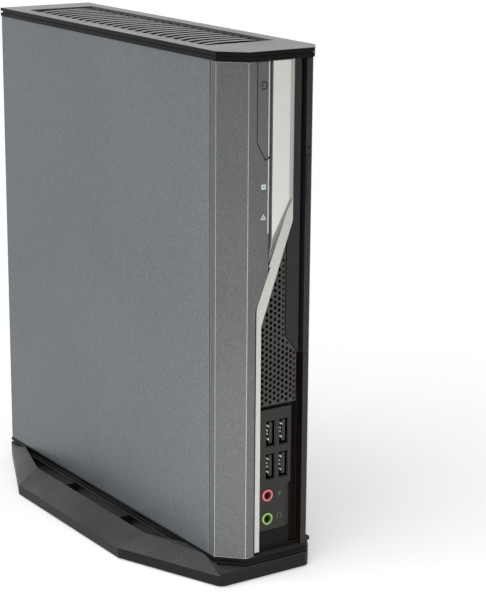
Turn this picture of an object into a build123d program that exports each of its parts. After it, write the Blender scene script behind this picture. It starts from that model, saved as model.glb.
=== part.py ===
from build123d import *
import math
import os

# Slim desktop computer that stands upright in a winged stand.
# Millimetres, +Z up, front face towards -Y, origin on the floor under the middle of the whole footprint.

# Body
body_w = 57.0
body_d = 238.0
body_h = 265.0
left_chamfer_share = 0.2018
right_chamfer = 7.0
right_chamfer_d = 9.2
overrun = 5.0
seam = 0.4
slide_gap = 0.35
button_gap = 0.55
shaft_gap = 0.06

# Stand
foot_h = 0.8
foot_seat = 1.0
foot_r = 5.0
foot_inset = 9.0
stand_deck_h = 7.2
stand_lip = 1.5
stand_side = 1.0
stand_corner = 4.2
stand_corner_r = 5.0
stand_wall = 2.4
stand_top = 3.0
stand_clear = 0.7
wing_reach = 28.7
wing_outer_h = 5.7
wing_rise = 4.6
wing_rim = 16.7
wing_front_end = 61.0
wing_rear_start = 63.5
hole_front = 36.0
hole_rear = 16.0
hole_rear_in = 8.0
hole_rib_t = 1.6
hole_rib_shares = (0.34, 0.67)
stand_rib_count = 3
stand_screw_r = 2.0
stand_screw_head_r = 3.6
stand_screw_head_h = 1.6
stand_screw_pitch = 130.0

# Caps at the bottom and the top of the body
bottom_cap_h = 3.9
top_cap_h = 4.6
cap_overhang = 0.4
cap_lip = 1.7
cap_groove = 1.0
cap_groove_in = 0.9
grille_side = 8.0
grille_front = 33.0
grille_rear = 19.0
grille_sink = 1.3
slot_count = 24
slot_w = 3.6
slot_end = 0.9

# Covers and chassis sheets
cover_t = 1.0
cover_hem = 8.0
cover_reveal = 1.0
sheet_t = 1.0
chassis_lip = 5.0
roof_window_side = 9.0
roof_window_inset = 22.0
roof_window_bar = 8.0
thumb_head_r = 5.5
thumb_head_h = 5.5
thumb_thread_r = 1.7
thumb_thread_l = 6.0
thumb_drop = 22.0
thumb_rim = 0.8
case_screw_head_r = 2.9
case_screw_head_h = 0.9
case_screw_r = 1.4
case_screw_l = 4.0
case_screw_inset = 11.0

# Front, depths behind the front face
bezel_depth = 17.0
bezel_wall = 2.2
bezel_bevel = 1.3
frame_face = 3.8
frame_t = 3.0
frame_wall = 2.0
band_drop = 1.4
trim_fall = 3.0
panel_drop = 1.8
door_drop = 2.2
groove_drop = 6.0
strip_drop = 0.8
mesh_t = 1.0

# Front, widths from the left face or the right face, the larger ones as shares of the body's width
flank_share = 0.2965
bezel_face_share = 0.4386
trim_left_share = 0.4561
trim_facet = 3.5
band_share = 0.0711
door_share = 0.2982
door_foot_share = 0.3526
door_cut_share = 0.143
strip_w = 3.2
groove_w = 2.3
mesh_right_share = 0.2333
panel_right_share = 0.2912

# Front, heights from the underside or the top of the body
button_side_h = 44.4
button_tip_in = 4.9
button_tip_h = 53.1
button_right_h = 51.8
trim_break_h = 75.0
trim_tip_h = 93.8
band_top_h = 85.8
band_left_top_h = 81.3
band_bend_h = 138.5
band_left_bend_h = 129.3
band_bend_r = 8.0
band_foot = 1.2
door_low = 108.9
door_cut_h = 10.6
mesh_low = 83.6
panel_low = 16.5
panel_high = 81.9

# Mesh and panel detail
mesh_hole_r = 1.15
mesh_pitch_x = 2.5
mesh_pitch_z = 3.0
mesh_rim = 0.5
mesh_ledge = 1.5
panel_bevel_w = 4.3
panel_bevel_h = 24.0
panel_bevel_drop = 1.5

# Power button, lamps and switch board
stem_w = 4.0
stem_h = 6.0
stem_drop = 16.7
button_travel = 1.2
button_rest = 0.3
switch_size = 6.0
switch_t = 3.5
plunger_r = 1.7
plunger_l = 1.5
board_t = 1.6
switch_board_gap = 0.5
switch_board_top = 8.0
switch_board_h = 84.0
pipe_share = 0.3632
drive_pipe_drop = 66.8
link_pipe_drop = 82.3
drive_pipe_size = 2.6
link_pipe_size = 3.2
lamp_t = 1.8
pipe_gap = 0.1

# Front sockets
usb_shell_w = 5.9
usb_shell_h = 14.0
usb_wall = 0.35
usb_clear = 0.15
usb_share = 0.4877
usb_pitch_share = 0.1421
usb_low_z = 51.0
usb_pitch_z = 17.8
usb_depth = 14.0
usb_sink = 0.4
tongue_t = 1.9
tongue_h = 11.3
tongue_l = 11.2
tongue_off = 0.7
jack_share = 0.4561
jack_low_z = 22.8
jack_pitch = 12.8
jack_ring_r = 3.1
jack_side_gap = 0.3
jack_hole_r = 1.8
jack_proud = 0.6
jack_body_h = 9.0
jack_body_l = 12.0
jack_end_wall = 2.0
socket_board_gap = 0.8
socket_board_share = 0.536
socket_board_margin = 2.0

# Disc drive
drive_spare = 23.1
drive_short = 1.0
drive_t = 12.7
drive_right = 2.8
drive_sheet = 0.6
drive_lip = 1.6
rail_h = 2.4
rail_t = 6.0
tray_t = 8.0
tray_floor = 2.8
tray_rear = 4.0
disc_spare = 6.6
disc_lead = 2.2
hub_plate_r = 14.5
hub_plate_t = 2.0
hub_r = 7.3
hub_nose_t = 2.2
hub_shaft_r = 3.0
hub_lift = 0.4
sled_l = 16.0
sled_w = 23.0
sled_t = 3.6
sled_start = 15.5
sled_end_gap = 0.7
sled_gap = 0.5
lens_r = 2.6
lens_h = 0.8
rod_r = 1.0
rod_inset = 3.0
rod_seat = 2.0
eject_h = 24.9
eject_top = 53.5
eject_w = 1.8
eject_proud = 0.3
eject_travel = 0.8
eject_stem = 1.6
pinhole_drop = 49.7
pinhole_r = 0.6

# Drive bracket and hard drive
bracket_flange = 6.0
bracket_window = 12.0
hdd_l = 100.0
hdd_t = 9.5
hdd_gap_y = 7.0
hdd_rear_gap = 16.15
hdd_corner = 3.0
hdd_step = 1.2
hdd_rim = 4.0
hdd_plug_rim = 12.0
drive_screw_r = 1.4
drive_screw_head_r = 2.4
drive_screw_head_h = 0.6
drive_screw_l = 2.5
hdd_hole_inset = 12.0

# Motherboard and what is on it
mother_w = 170.0
mother_l = 170.0
mother_low = 20.0
mother_rear = 3.0
standoff_h = 5.0
standoff_r = 3.0
board_hole_r = 1.6
board_hole_inset = 8.0
board_screw_head_r = 2.8
board_screw_head_h = 1.6
board_corner = 3.0
socket_size = 44.0
socket_t = 3.0
processor_size = 37.5
processor_t = 1.4
cooler_z = 75.0
cooler_rear = 72.0
heatsink_size = 76.0
heatsink_base = 4.0
cooler_gap = 7.0
fin_count = 17
fin_t = 1.0
fan_size = 70.0
fan_t = 15.0
fan_duct_r = 33.5
fan_corner = 4.0
fan_hole_r = 2.1
fan_hole_inset = 4.0
fan_boss_r = 13.0
fan_boss_t = 3.0
fan_strut_w = 3.0
fan_hub_r = 14.0
fan_blade_r = 32.6
fan_blade_count = 7
fan_blade_t = 1.2
fan_blade_chord = 12.0
fan_blade_pitch = 38.0
fan_shaft_r = 1.8
fan_rotor_gap = 0.5
memory_count = 2
memory_front = 24.0
memory_pitch = 12.0
memory_low = 20.0
memory_socket_l = 74.0
memory_socket_w = 7.6
memory_socket_h = 6.0
memory_l = 67.6
memory_h = 30.0
memory_t = 1.0
memory_chip_t = 1.1
memory_chip_w = 10.0
memory_chip_h = 13.0
memory_chip_count = 4
memory_seat = 4.0
chip_sink_size = 34.0
chip_sink_h = 14.0
chip_sink_base = 3.0
chip_sink_z = 150.0
chip_sink_rear = 90.0
chip_fin_count = 8
cell_r = 10.0
cell_t = 3.2
cell_z = 164.0
cell_front = 28.0
cell_holder_wall = 1.5
cell_holder_floor = 1.0
capacitor_r = 4.0
capacitor_h = 11.0
capacitor_count = 6
capacitor_pitch = 10.5
capacitor_z = 24.0
capacitor_front = 70.0
capacitor_top_r = 0.7
speaker_gap = 3.25
speaker_t = 7.0
speaker_drop = 40.0
speaker_flange_t = 1.5
speaker_rim = 2.0

# Rear sockets
port_z = 173.0
port_gap = 4.0
port_depth = 16.0
port_proud = 0.4
port_clear = 0.25
port_wall = 0.8
vga_h = 31.0
vga_w = 12.5
dsub_open_h = 17.0
dsub_open_w = 8.4
dsub_slant = 1.6
hex_nut_r = 2.6
hex_nut_l = 1.0
rear_usb_pitch = 8.1
lan_h = 16.0
lan_w = 13.5
lan_open_h = 11.8
lan_open_w = 7.4
lan_depth = 12.0
lan_lift = 2.0
audio_h = 13.0
audio_pitch = 11.5
audio_count = 3
inlet_h = 10.0
inlet_w = 11.0
inlet_r = 3.2
inlet_pin_r = 1.0
vent_slot_l = 30.0
vent_slot_w = 3.0
vent_slot_pitch = 6.0
vent_slot_count = 9
vent_top = 18.0
lock_l = 7.0
lock_w = 3.0
lock_low = 10.0

# Places that the values above set
base_z = foot_h + stand_deck_h
top_z = base_z + body_h
middle_y = (stand_lip - thumb_head_h) / 2


def from_left(v):
    return v - body_w / 2


def from_right(v):
    return body_w / 2 - v


def from_front(v):
    return middle_y - body_d / 2 + v


def from_rear(v):
    return middle_y + body_d / 2 - v


def from_base(v):
    return base_z + v


def from_top(v):
    return top_z - v


inner_low = from_base(bottom_cap_h)
inner_high = from_top(top_cap_h)
front_low = inner_low + seam
front_high = inner_high - seam
wall_x = from_left(cover_t + sheet_t)
board_x = wall_x + standoff_h
board_face = board_x + board_t
left_chamfer = body_w * left_chamfer_share
flank_w = body_w * flank_share
band_w = body_w * band_share
bezel_face_w = body_w * bezel_face_share
trim_left = body_w * trim_left_share
door_w = body_w * door_share
door_foot_w = body_w * door_foot_share
door_cut_w = body_w * door_cut_share
mesh_right = body_w * mesh_right_share
panel_right = body_w * panel_right_share
usb_x = body_w * usb_share
usb_pitch_x = body_w * usb_pitch_share
jack_x = body_w * jack_share
socket_board_x = flank_w + band_w + socket_board_gap
jack_body_w = (jack_x - socket_board_x) * 2
panel_ledge = jack_x - jack_ring_r - flank_w - band_w - seam - jack_side_gap
trim_right = door_w + seam
door_z = from_base(door_low)
drive_z = (door_z + front_high) / 2
drive_w = front_high - door_z - drive_spare
drive_l = drive_w - drive_short
disc_r = (drive_l - disc_spare) / 2
disc_front = disc_r - disc_lead
sled_travel = disc_r - sled_start - sled_l - sled_end_gap
hdd_w = body_d - bezel_depth - sheet_t - drive_l - hdd_gap_y - hdd_rear_gap
drive_x1 = from_right(drive_right)
drive_x0 = drive_x1 - drive_t
drive_y0 = from_front(bezel_depth + sheet_t)
tray_x1 = drive_x1 - (drive_t - tray_t) / 2
tray_x0 = tray_x1 - tray_t
tray_y0 = from_front(groove_drop + bezel_wall)
hub_y = drive_y0 + disc_front
mother_y1 = from_rear(mother_rear)
mother_y0 = mother_y1 - mother_l
mother_z0 = from_base(mother_low)
mother_z1 = mother_z0 + mother_w
cooler_y = from_rear(cooler_rear)
cooler_zc = from_base(cooler_z)
processor_face = board_face + socket_t + processor_t
fan_x0 = from_right(cover_t + cooler_gap) - fan_t
heatsink_h = fan_x0 - processor_face
pipe_px = from_left(body_w * pipe_share)


# Plain shapes between stated faces

def block(x0, x1, y0, y1, z0, z1):
    middle = Pos((x0 + x1) / 2, (y0 + y1) / 2, (z0 + z1) / 2)
    return middle * Box(x1 - x0, y1 - y0, z1 - z0)


def rod_x(radius, x0, x1, y, z):
    return Pos((x0 + x1) / 2, y, z) * Rot(0, 90, 0) * Cylinder(radius, x1 - x0)


def rod_y(radius, y0, y1, x, z):
    return Pos(x, (y0 + y1) / 2, z) * Rot(90, 0, 0) * Cylinder(radius, y1 - y0)


def rod_z(radius, z0, z1, x, y):
    return Pos(x, y, (z0 + z1) / 2) * Cylinder(radius, z1 - z0)


def outline(*points):
    return make_face(Polyline(*points, close=True))


def rectangle(u0, u1, v0, v1):
    return Pos((u0 + u1) / 2, (v0 + v1) / 2) * Rectangle(u1 - u0, v1 - v0)


def grown(sketch, amount):
    return offset(sketch, amount=amount, kind=Kind.INTERSECTION)


def across_y(sketch, y0, y1):
    return extrude(Pos(0, y0, 0) * (Plane.XZ * sketch), amount=y1 - y0, dir=(0, 1, 0))


def across_z(sketch, z0, z1):
    return extrude(Pos(0, 0, z0) * sketch, amount=z1 - z0, dir=(0, 0, 1))


def across_x(sketch, x0, x1):
    return extrude(Pos(x0, 0, 0) * (Plane.YZ * sketch), amount=x1 - x0, dir=(1, 0, 0))


def sheet_profile(thickness, side, *points):
    return make_face(offset(Polyline(*points), amount=thickness, kind=Kind.INTERSECTION, side=side))


# Outlines that several pieces share

def body_plan():
    return outline(
        (from_left(0), from_front(left_chamfer)),
        (from_left(left_chamfer), from_front(0)),
        (from_right(right_chamfer), from_front(0)),
        (from_right(0), from_front(right_chamfer_d)),
        (from_right(0), from_rear(0)),
        (from_left(0), from_rear(0)),
    )


def trim_outline():
    raised = outline(
        (from_left(trim_left), front_high),
        (from_left(trim_left), trim_foot_z()),
        (from_right(trim_right + trim_facet), from_top(band_left_top_h)),
        (from_right(trim_right), from_top(band_top_h)),
        (from_right(trim_right), front_high),
    )
    return raised + band_outline()


def trim_foot_z():
    """Height at which the slanting band's left edge crosses the trim's left edge."""
    run = body_w - trim_right - trim_facet - flank_w
    climb = band_left_bend_h - band_left_top_h
    return from_top(band_left_bend_h) + climb * (trim_left - flank_w) / run


def band_outline():
    band_right = flank_w + band_w
    band = outline(
        (from_right(trim_right), front_high),
        (from_right(trim_right), from_top(band_top_h)),
        (from_left(band_right), from_top(band_bend_h)),
        (from_left(band_right), front_low + band_foot),
        (from_left(flank_w), front_low + band_foot),
        (from_left(flank_w), from_top(band_left_bend_h)),
        (from_right(trim_right + trim_facet), from_top(band_left_top_h)),
        (from_right(trim_right + trim_facet), front_high),
    )
    low = from_top(band_bend_h) - band_w
    high = from_top(band_left_bend_h) + band_w
    bends = [v for v in band.vertices() if low < v.Y < high]
    return fillet(bends, band_bend_r)


def right_of_band():
    return outline(
        (from_left(flank_w), inner_low),
        (from_left(flank_w), from_top(band_left_bend_h)),
        (from_right(trim_right + trim_facet), from_top(band_left_top_h)),
        (from_right(0), from_top(band_left_top_h)),
        (from_right(0), inner_low),
    )


def door_outline():
    column = outline(
        (from_right(door_foot_w), front_high),
        (from_right(0), front_high),
        (from_right(0), door_z),
        (from_right(door_foot_w - door_cut_w), door_z),
        (from_right(door_foot_w), door_z + door_cut_h),
    )
    return column - grown(trim_outline(), seam)


def mesh_outline():
    field = rectangle(
        from_left(flank_w + band_w),
        from_right(mesh_right),
        from_base(mesh_low),
        from_top(band_top_h),
    )
    rest = field - grown(trim_outline(), seam) - grown(door_outline(), seam)
    return rest.faces().sort_by(SortBy.AREA)[-1]


def button_outline():
    return outline(
        (from_left(flank_w), front_high),
        (from_left(flank_w), from_top(button_side_h)),
        (from_left(flank_w + button_tip_in), from_top(button_tip_h)),
        (from_left(bezel_face_w), from_top(button_right_h)),
        (from_left(bezel_face_w), front_high),
    )


def panel_outline():
    return rectangle(
        from_left(flank_w + band_w + seam),
        from_right(panel_right),
        from_base(panel_low),
        from_base(panel_high),
    )


def usb_places():
    for column in range(2):
        for row in range(2):
            x = from_left(usb_x + column * usb_pitch_x)
            yield x, from_base(usb_low_z + row * usb_pitch_z)


def jack_places():
    return [from_base(jack_low_z + row * jack_pitch) for row in range(2)]


# Stand

def wing_plan(*front):
    side = from_left(0)
    return outline(
        *[(side - reach, from_front(start)) for reach, start in front],
        (side - wing_reach, from_front(wing_front_end)),
        (side - wing_reach, from_rear(wing_rear_start)),
        (side, from_rear(-stand_lip)),
    )


def left_wing_plan():
    return wing_plan((0, -stand_lip), (stand_corner, -stand_lip))


def right_wing_plan():
    """Plan of the right wing as a left one; it starts behind the chamfer of the body."""
    return wing_plan((0, right_chamfer_d), (stand_side, right_chamfer_d + stand_side))


def wing(outer):
    """Left wing: an upright outer wall under a rim that slopes up towards the body."""
    side = from_left(0)
    rim_z = foot_h + wing_outer_h
    inner_reach = wing_reach - wing_rim
    crest = outline(
        (side, from_front(hole_front - wing_rim)),
        (side - stand_side, from_front(hole_front - wing_rim + stand_side)),
        (side - inner_reach, from_front(wing_front_end)),
        (side - inner_reach, from_rear(wing_rear_start - hole_rear_in)),
        (side, from_rear(hole_rear)),
    )
    skirt = across_z(outer, foot_h, rim_z)
    slope = loft([Pos(0, 0, rim_z) * outer, Pos(0, 0, rim_z + wing_rise) * crest], ruled=True)
    hole = outline(
        (side, from_front(hole_front)),
        (side - inner_reach, from_front(wing_front_end)),
        (side - inner_reach, from_rear(wing_rear_start - hole_rear_in)),
        (side, from_rear(hole_rear)),
    )
    solid = skirt + slope - across_z(hole, 0, base_z + overrun)
    start = from_front(hole_front)
    run = from_rear(hole_rear) - start
    for share in hole_rib_shares:
        y = start + share * run
        bar = block(side - inner_reach, side, y - hole_rib_t / 2, y + hole_rib_t / 2, foot_h, rim_z)
        solid += bar & across_z(hole, foot_h, rim_z)
    return solid


def stand_base():
    left = wing(left_wing_plan())
    right = mirror(wing(right_wing_plan()), about=Plane.YZ)
    y0 = from_front(-stand_lip)
    y1 = from_rear(-stand_lip)
    plan = outline(
        (from_left(-stand_corner), y0),
        (from_right(right_chamfer), y0),
        (from_right(-stand_side), from_front(right_chamfer_d)),
        (from_right(-stand_side), from_rear(hole_rear)),
        (from_right(0), y1),
        (from_left(0), y1),
        (from_left(-stand_side), from_rear(hole_rear)),
        (from_left(-stand_side), from_front(hole_front)),
    )
    solid = across_z(plan, foot_h, base_z) + left + right
    footprint = plan + left_wing_plan() + mirror(right_wing_plan(), about=Plane.YZ)
    footprint = fillet(footprint.vertices().group_by(Axis.Y)[0], stand_corner_r)
    solid &= across_z(footprint, foot_h, base_z + body_h)
    solid -= across_z(grown(body_plan(), stand_clear), base_z, base_z + body_h)
    bay_l = (y1 - y0 - stand_wall) / stand_rib_count
    inner = body_w / 2 + stand_side - stand_wall - foot_r * 2
    for bay in range(stand_rib_count):
        start = y0 + stand_wall + bay * bay_l
        solid -= block(-inner, inner, start, start + bay_l - stand_wall, 0, base_z - stand_top)
    for y in stand_screw_places():
        solid -= rod_z(stand_screw_r, 0, base_z + overrun, 0, y)
    for x, y in foot_places():
        solid -= rod_z(foot_r, 0, foot_h + foot_seat, x, y)
    return solid


def stand_screw_places():
    return [middle_y - stand_screw_pitch / 2, middle_y + stand_screw_pitch / 2]


def foot_places():
    side = -(body_w / 2 + wing_reach - foot_inset)
    middle = (from_front(wing_front_end) + from_rear(wing_rear_start)) / 2
    half = from_rear(wing_rear_start) - middle
    places = [(side, middle - half), (side, middle + half)]
    deck_x = body_w / 2 + stand_side - foot_r - stand_wall
    ends = [from_front(foot_inset), from_rear(foot_inset)]
    places += [(-deck_x, y) for y in ends]
    return places + [(-x, y) for x, y in places]


def stand_feet():
    return [rod_z(foot_r, 0, foot_h + foot_seat, x, y) for x, y in foot_places()]


def stand_screws():
    screws = []
    under = base_z - stand_top
    for y in stand_screw_places():
        head = rod_z(stand_screw_head_r, under - stand_screw_head_h, under, 0, y)
        shank = rod_z(stand_screw_r - shaft_gap, under, inner_low, 0, y)
        screws.append(head + shank)
    return screws


# Caps

def edge_groove(z0, z1):
    ring = grown(body_plan(), cap_overhang + overrun) - grown(body_plan(), cap_overhang - cap_groove_in)
    return across_z(ring, z0, z1)


def bottom_cap():
    plate = across_z(grown(body_plan(), cap_overhang), base_z, inner_low)
    plate -= edge_groove(inner_low - cap_lip - cap_groove, inner_low - cap_lip)
    for y in stand_screw_places():
        plate -= rod_z(stand_screw_r, base_z - overrun, inner_low + overrun, 0, y)
    return plate


def top_cap():
    plate = across_z(grown(body_plan(), cap_overhang), inner_high, top_z)
    plate -= edge_groove(from_top(cap_lip + cap_groove), from_top(cap_lip))
    field_w = body_w - 2 * grille_side
    field_l = body_d - grille_front - grille_rear
    field_y = (from_front(grille_front) + from_rear(grille_rear)) / 2
    brim = Pos(0, field_y, top_z) * Rectangle(field_w, field_l)
    sink = 2 * grille_sink
    floor = Pos(0, field_y, top_z - grille_sink) * Rectangle(field_w - sink, field_l - sink)
    plate -= loft([brim, floor], ruled=True)
    pitch = (field_l - sink) / slot_count
    slot = SlotOverall(field_w - 2 * slot_end, slot_w)
    places = GridLocations(0, pitch, 1, slot_count)
    slots = Sketch() + [place * slot for place in places]
    return plate - across_z(Pos(0, field_y) * slots, inner_high - overrun, top_z + overrun)


# Chassis and covers

def chassis_frame():
    """Folded sheet: left wall, floor and roof, with lips that the right cover lies on."""
    outside = rectangle(from_left(cover_t), from_right(cover_t), inner_low, inner_high)
    inside = rectangle(wall_x, from_right(cover_t + sheet_t), inner_low + sheet_t, inner_high - sheet_t)
    mouth = rectangle(
        from_right(cover_t + sheet_t + overrun),
        from_right(0),
        inner_low + chassis_lip,
        inner_high - chassis_lip,
    )
    y0 = from_front(bezel_depth + sheet_t)
    y1 = from_rear(cover_t + sheet_t)
    frame = across_y(outside - inside - mouth, y0, y1)
    middle = (y0 + y1) / 2
    for start, end in ((y0, middle), (middle, y1)):
        lead = roof_window_inset if start == y0 else roof_window_bar / 2
        tail = roof_window_inset if end == y1 else roof_window_bar / 2
        frame -= block(
            from_left(roof_window_side),
            from_right(roof_window_side),
            start + lead,
            end - tail,
            inner_high - sheet_t,
            inner_high,
        )
    for y in stand_screw_places():
        frame -= rod_z(stand_screw_r, inner_low - overrun, inner_low + sheet_t, 0, y)
    return frame


def chassis_front():
    """Front sheet behind the bezel, with mouths for the disc drive, the air and the sockets."""
    y0 = from_front(bezel_depth)
    sheet = rectangle(from_left(cover_t), from_right(cover_t), inner_low, inner_high)
    half = drive_w / 2 - drive_lip
    sheet -= rectangle(drive_x0 + drive_lip, drive_x1 - drive_lip, drive_z - half, drive_z + half)
    left = from_left(flank_w + band_w)
    air_right = drive_x0 - drive_lip
    sheet -= rectangle(left, air_right, from_base(mesh_low), from_top(band_top_h))
    sheet -= rectangle(left - drive_lip, air_right, inner_low + chassis_lip, from_base(panel_high))
    return across_y(sheet, y0, y0 + sheet_t)


def chassis_rear():
    """Rear sheet with the cut-outs for the sockets, the vent slots and the lock slot."""
    y1 = from_rear(cover_t)
    y0 = y1 - sheet_t
    sheet = rectangle(from_left(cover_t), from_right(cover_t), inner_low, inner_high)
    for x, z, width, height in port_faces():
        sheet -= Pos(x, z) * Rectangle(width + 2 * port_clear, height + 2 * port_clear)
    vent = SlotOverall(vent_slot_l, vent_slot_w)
    for row in range(vent_slot_count):
        sheet -= Pos(0, from_top(top_cap_h + vent_top + row * vent_slot_pitch)) * vent
    sheet -= Pos(0, inner_low + lock_low) * SlotOverall(lock_l, lock_w)
    sheet -= Pos(thumb_place()) * Circle(thumb_thread_r)
    for place in case_screw_places():
        sheet -= Pos(place) * Circle(case_screw_r)
    return across_y(sheet, y0, y1)


def thumb_place():
    return from_right(cover_hem / 2), from_top(top_cap_h + thumb_drop)


def case_screw_places():
    x = from_left(cover_hem / 2)
    return [(x, inner_low + case_screw_inset), (x, inner_high - case_screw_inset)]


def cover(side):
    """Flat painted sheet with a hem that turns in behind the rear sheet."""
    z0 = inner_low + seam / 2
    z1 = inner_high - seam / 2
    y0 = from_front(bezel_depth + seam / 2)
    hem = sheet_profile(
        cover_t,
        Side.RIGHT,
        (from_left(0), y0),
        (from_left(0), from_rear(0)),
        (from_left(cover_hem), from_rear(0)),
    )
    sheet = across_z(hem, z0, z1)
    return sheet if side < 0 else mirror(sheet, about=Plane.YZ)


def left_cover():
    sheet = cover(-1)
    for x, z in case_screw_places():
        sheet -= rod_y(case_screw_r, from_rear(cover_t), from_rear(-overrun), x, z)
    return sheet


def right_cover():
    x, z = thumb_place()
    return cover(1) - rod_y(thumb_thread_r, from_rear(cover_t), from_rear(-overrun), x, z)


def cover_thumbscrew():
    x, z = thumb_place()
    face = from_rear(0)
    head = rod_y(thumb_head_r, face, face + thumb_head_h, x, z)
    head = chamfer(head.edges().filter_by(GeomType.CIRCLE), thumb_rim)
    thread = rod_y(thumb_thread_r - shaft_gap, face - thumb_thread_l, face, x, z)
    return head + thread


def case_screws():
    face = from_rear(0)
    screws = []
    for x, z in case_screw_places():
        head = rod_y(case_screw_head_r, face, face + case_screw_head_h, x, z)
        shank = rod_y(case_screw_r - shaft_gap, face - case_screw_l, face, x, z)
        screws.append(head + shank)
    return screws


# Front mouldings

def bezel_shell():
    profile = sheet_profile(
        bezel_wall,
        Side.LEFT,
        (from_left(0), from_front(bezel_depth)),
        (from_left(0), from_front(left_chamfer)),
        (from_left(left_chamfer), from_front(0)),
        (from_left(bezel_face_w - bezel_bevel), from_front(0)),
        (from_left(bezel_face_w), from_front(bezel_bevel)),
    )
    return across_z(profile, front_low, front_high)


def front_bezel():
    shell = bezel_shell()
    web_x = from_left(left_chamfer)
    web = outline(
        (from_left(0), from_front(bezel_depth)),
        (from_left(0), from_front(left_chamfer)),
        (web_x, from_front(0)),
        (web_x, from_front(bezel_depth)),
    )
    shell += across_z(web, front_low, front_low + bezel_wall)
    shell += across_z(web, front_high - bezel_wall, front_high)
    reveal = from_front(bezel_depth - cover_reveal)
    back = from_front(bezel_depth + overrun)
    shell -= block(from_left(-overrun), from_left(cover_t), reveal, back, front_low, front_high)
    y0 = from_front(-overrun)
    y1 = from_front(frame_face)
    shell -= across_y(grown(trim_outline(), seam), y0, y1)
    shell -= across_y(right_of_band(), y0, y1)
    shell -= across_y(grown(button_outline(), button_gap), y0, y1)
    shell -= pipe_cut(drive_pipe_outline(), y0, y1)
    shell -= pipe_cut(link_pipe_outline(), y0, y1)
    return shell


def drive_pipe_outline():
    return Pos(pipe_px, from_top(drive_pipe_drop)) * Rectangle(drive_pipe_size, drive_pipe_size)


def link_pipe_outline():
    return Pos(pipe_px, from_top(link_pipe_drop)) * Triangle(
        a=link_pipe_size, b=link_pipe_size, c=link_pipe_size
    )


def pipe_cut(sketch, y0, y1):
    return across_y(grown(sketch, pipe_gap), y0, y1)


def light_pipe(sketch):
    lamp_y = from_front(bezel_depth) - board_t - lamp_t
    return across_y(sketch, from_front(0), lamp_y)


def indicator_lamps():
    y1 = from_front(bezel_depth) - board_t
    lamps = []
    for drop in (drive_pipe_drop, link_pipe_drop):
        sketch = Pos(pipe_px, from_top(drop)) * Rectangle(drive_pipe_size, drive_pipe_size)
        lamps.append(across_y(sketch, y1 - lamp_t, y1))
    return lamps


def power_button():
    depth = from_front(frame_face - button_travel - slide_gap)
    flap = bezel_shell() & across_y(button_outline(), from_front(-overrun), depth)
    x, z = stem_place()
    plunger = switch_front() - button_travel - button_rest
    stem = across_y(Pos(x, z) * Rectangle(stem_w, stem_h), from_front(bezel_wall), plunger)
    return flap + stem


def stem_place():
    return pipe_px, from_top(stem_drop)


def switch_front():
    return from_front(bezel_depth) - board_t - switch_t - plunger_l


def power_switch():
    x, z = stem_place()
    y1 = from_front(bezel_depth) - board_t
    can = across_y(Pos(x, z) * Rectangle(switch_size, switch_size), y1 - switch_t, y1)
    return can + rod_y(plunger_r, switch_front(), y1 - switch_t, x, z)


def switch_board():
    y1 = from_front(bezel_depth)
    half = pipe_px - from_left(left_chamfer + bezel_wall + frame_wall + switch_board_gap)
    z1 = from_top(switch_board_top)
    sketch = rectangle(pipe_px - half, pipe_px + half, z1 - switch_board_h, z1)
    return across_y(sketch, y1 - board_t, y1)


def trim_strip():
    """Raised flat with a facet that falls to the right and runs on as the slanting band."""
    back = from_front(frame_face)
    band = across_y(band_outline(), from_front(band_drop), back)
    section = outline(
        (from_left(trim_left), from_front(0)),
        (from_right(trim_right + trim_facet), from_front(0)),
        (from_right(trim_right), from_front(band_drop)),
        (from_right(trim_right), back),
        (from_left(trim_left), back),
    )
    raised = across_z(section, trim_foot_z(), front_high)
    raised &= across_y(trim_outline(), from_front(-overrun), back)
    tip = Vector(from_left(trim_left), from_front(0), from_top(trim_tip_h))
    ridge = Vector(from_right(trim_right + trim_facet), from_front(0), from_top(trim_break_h))
    foot = Vector(from_left(trim_left), from_front(trim_fall), trim_foot_z())
    fall = Plane(origin=tip, x_dir=ridge - tip, z_dir=(ridge - tip).cross(foot - tip))
    raised = split(raised, bisect_by=fall, keep=Keep.TOP if fall.z_dir.Z > 0 else Keep.BOTTOM)
    return raised + band


def column_section(left):
    """Right-hand column: flat, deep groove, raised strip, chamfer and side wall."""
    strip_x = right_chamfer + strip_w
    groove_x = strip_x + groove_w
    points = [
        (from_right(0), from_front(bezel_depth - seam)),
        (from_right(0), from_front(strip_drop + right_chamfer_d)),
        (from_right(right_chamfer), from_front(strip_drop)),
        (from_right(strip_x), from_front(strip_drop)),
        (from_right(strip_x), from_front(groove_drop)),
    ]
    if left > groove_x:
        points += [
            (from_right(groove_x), from_front(groove_drop)),
            (from_right(groove_x), from_front(door_drop)),
            (from_right(left), from_front(door_drop)),
        ]
    else:
        points += [(from_right(left), from_front(groove_drop))]
    return sheet_profile(bezel_wall, Side.RIGHT, *points)


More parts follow.
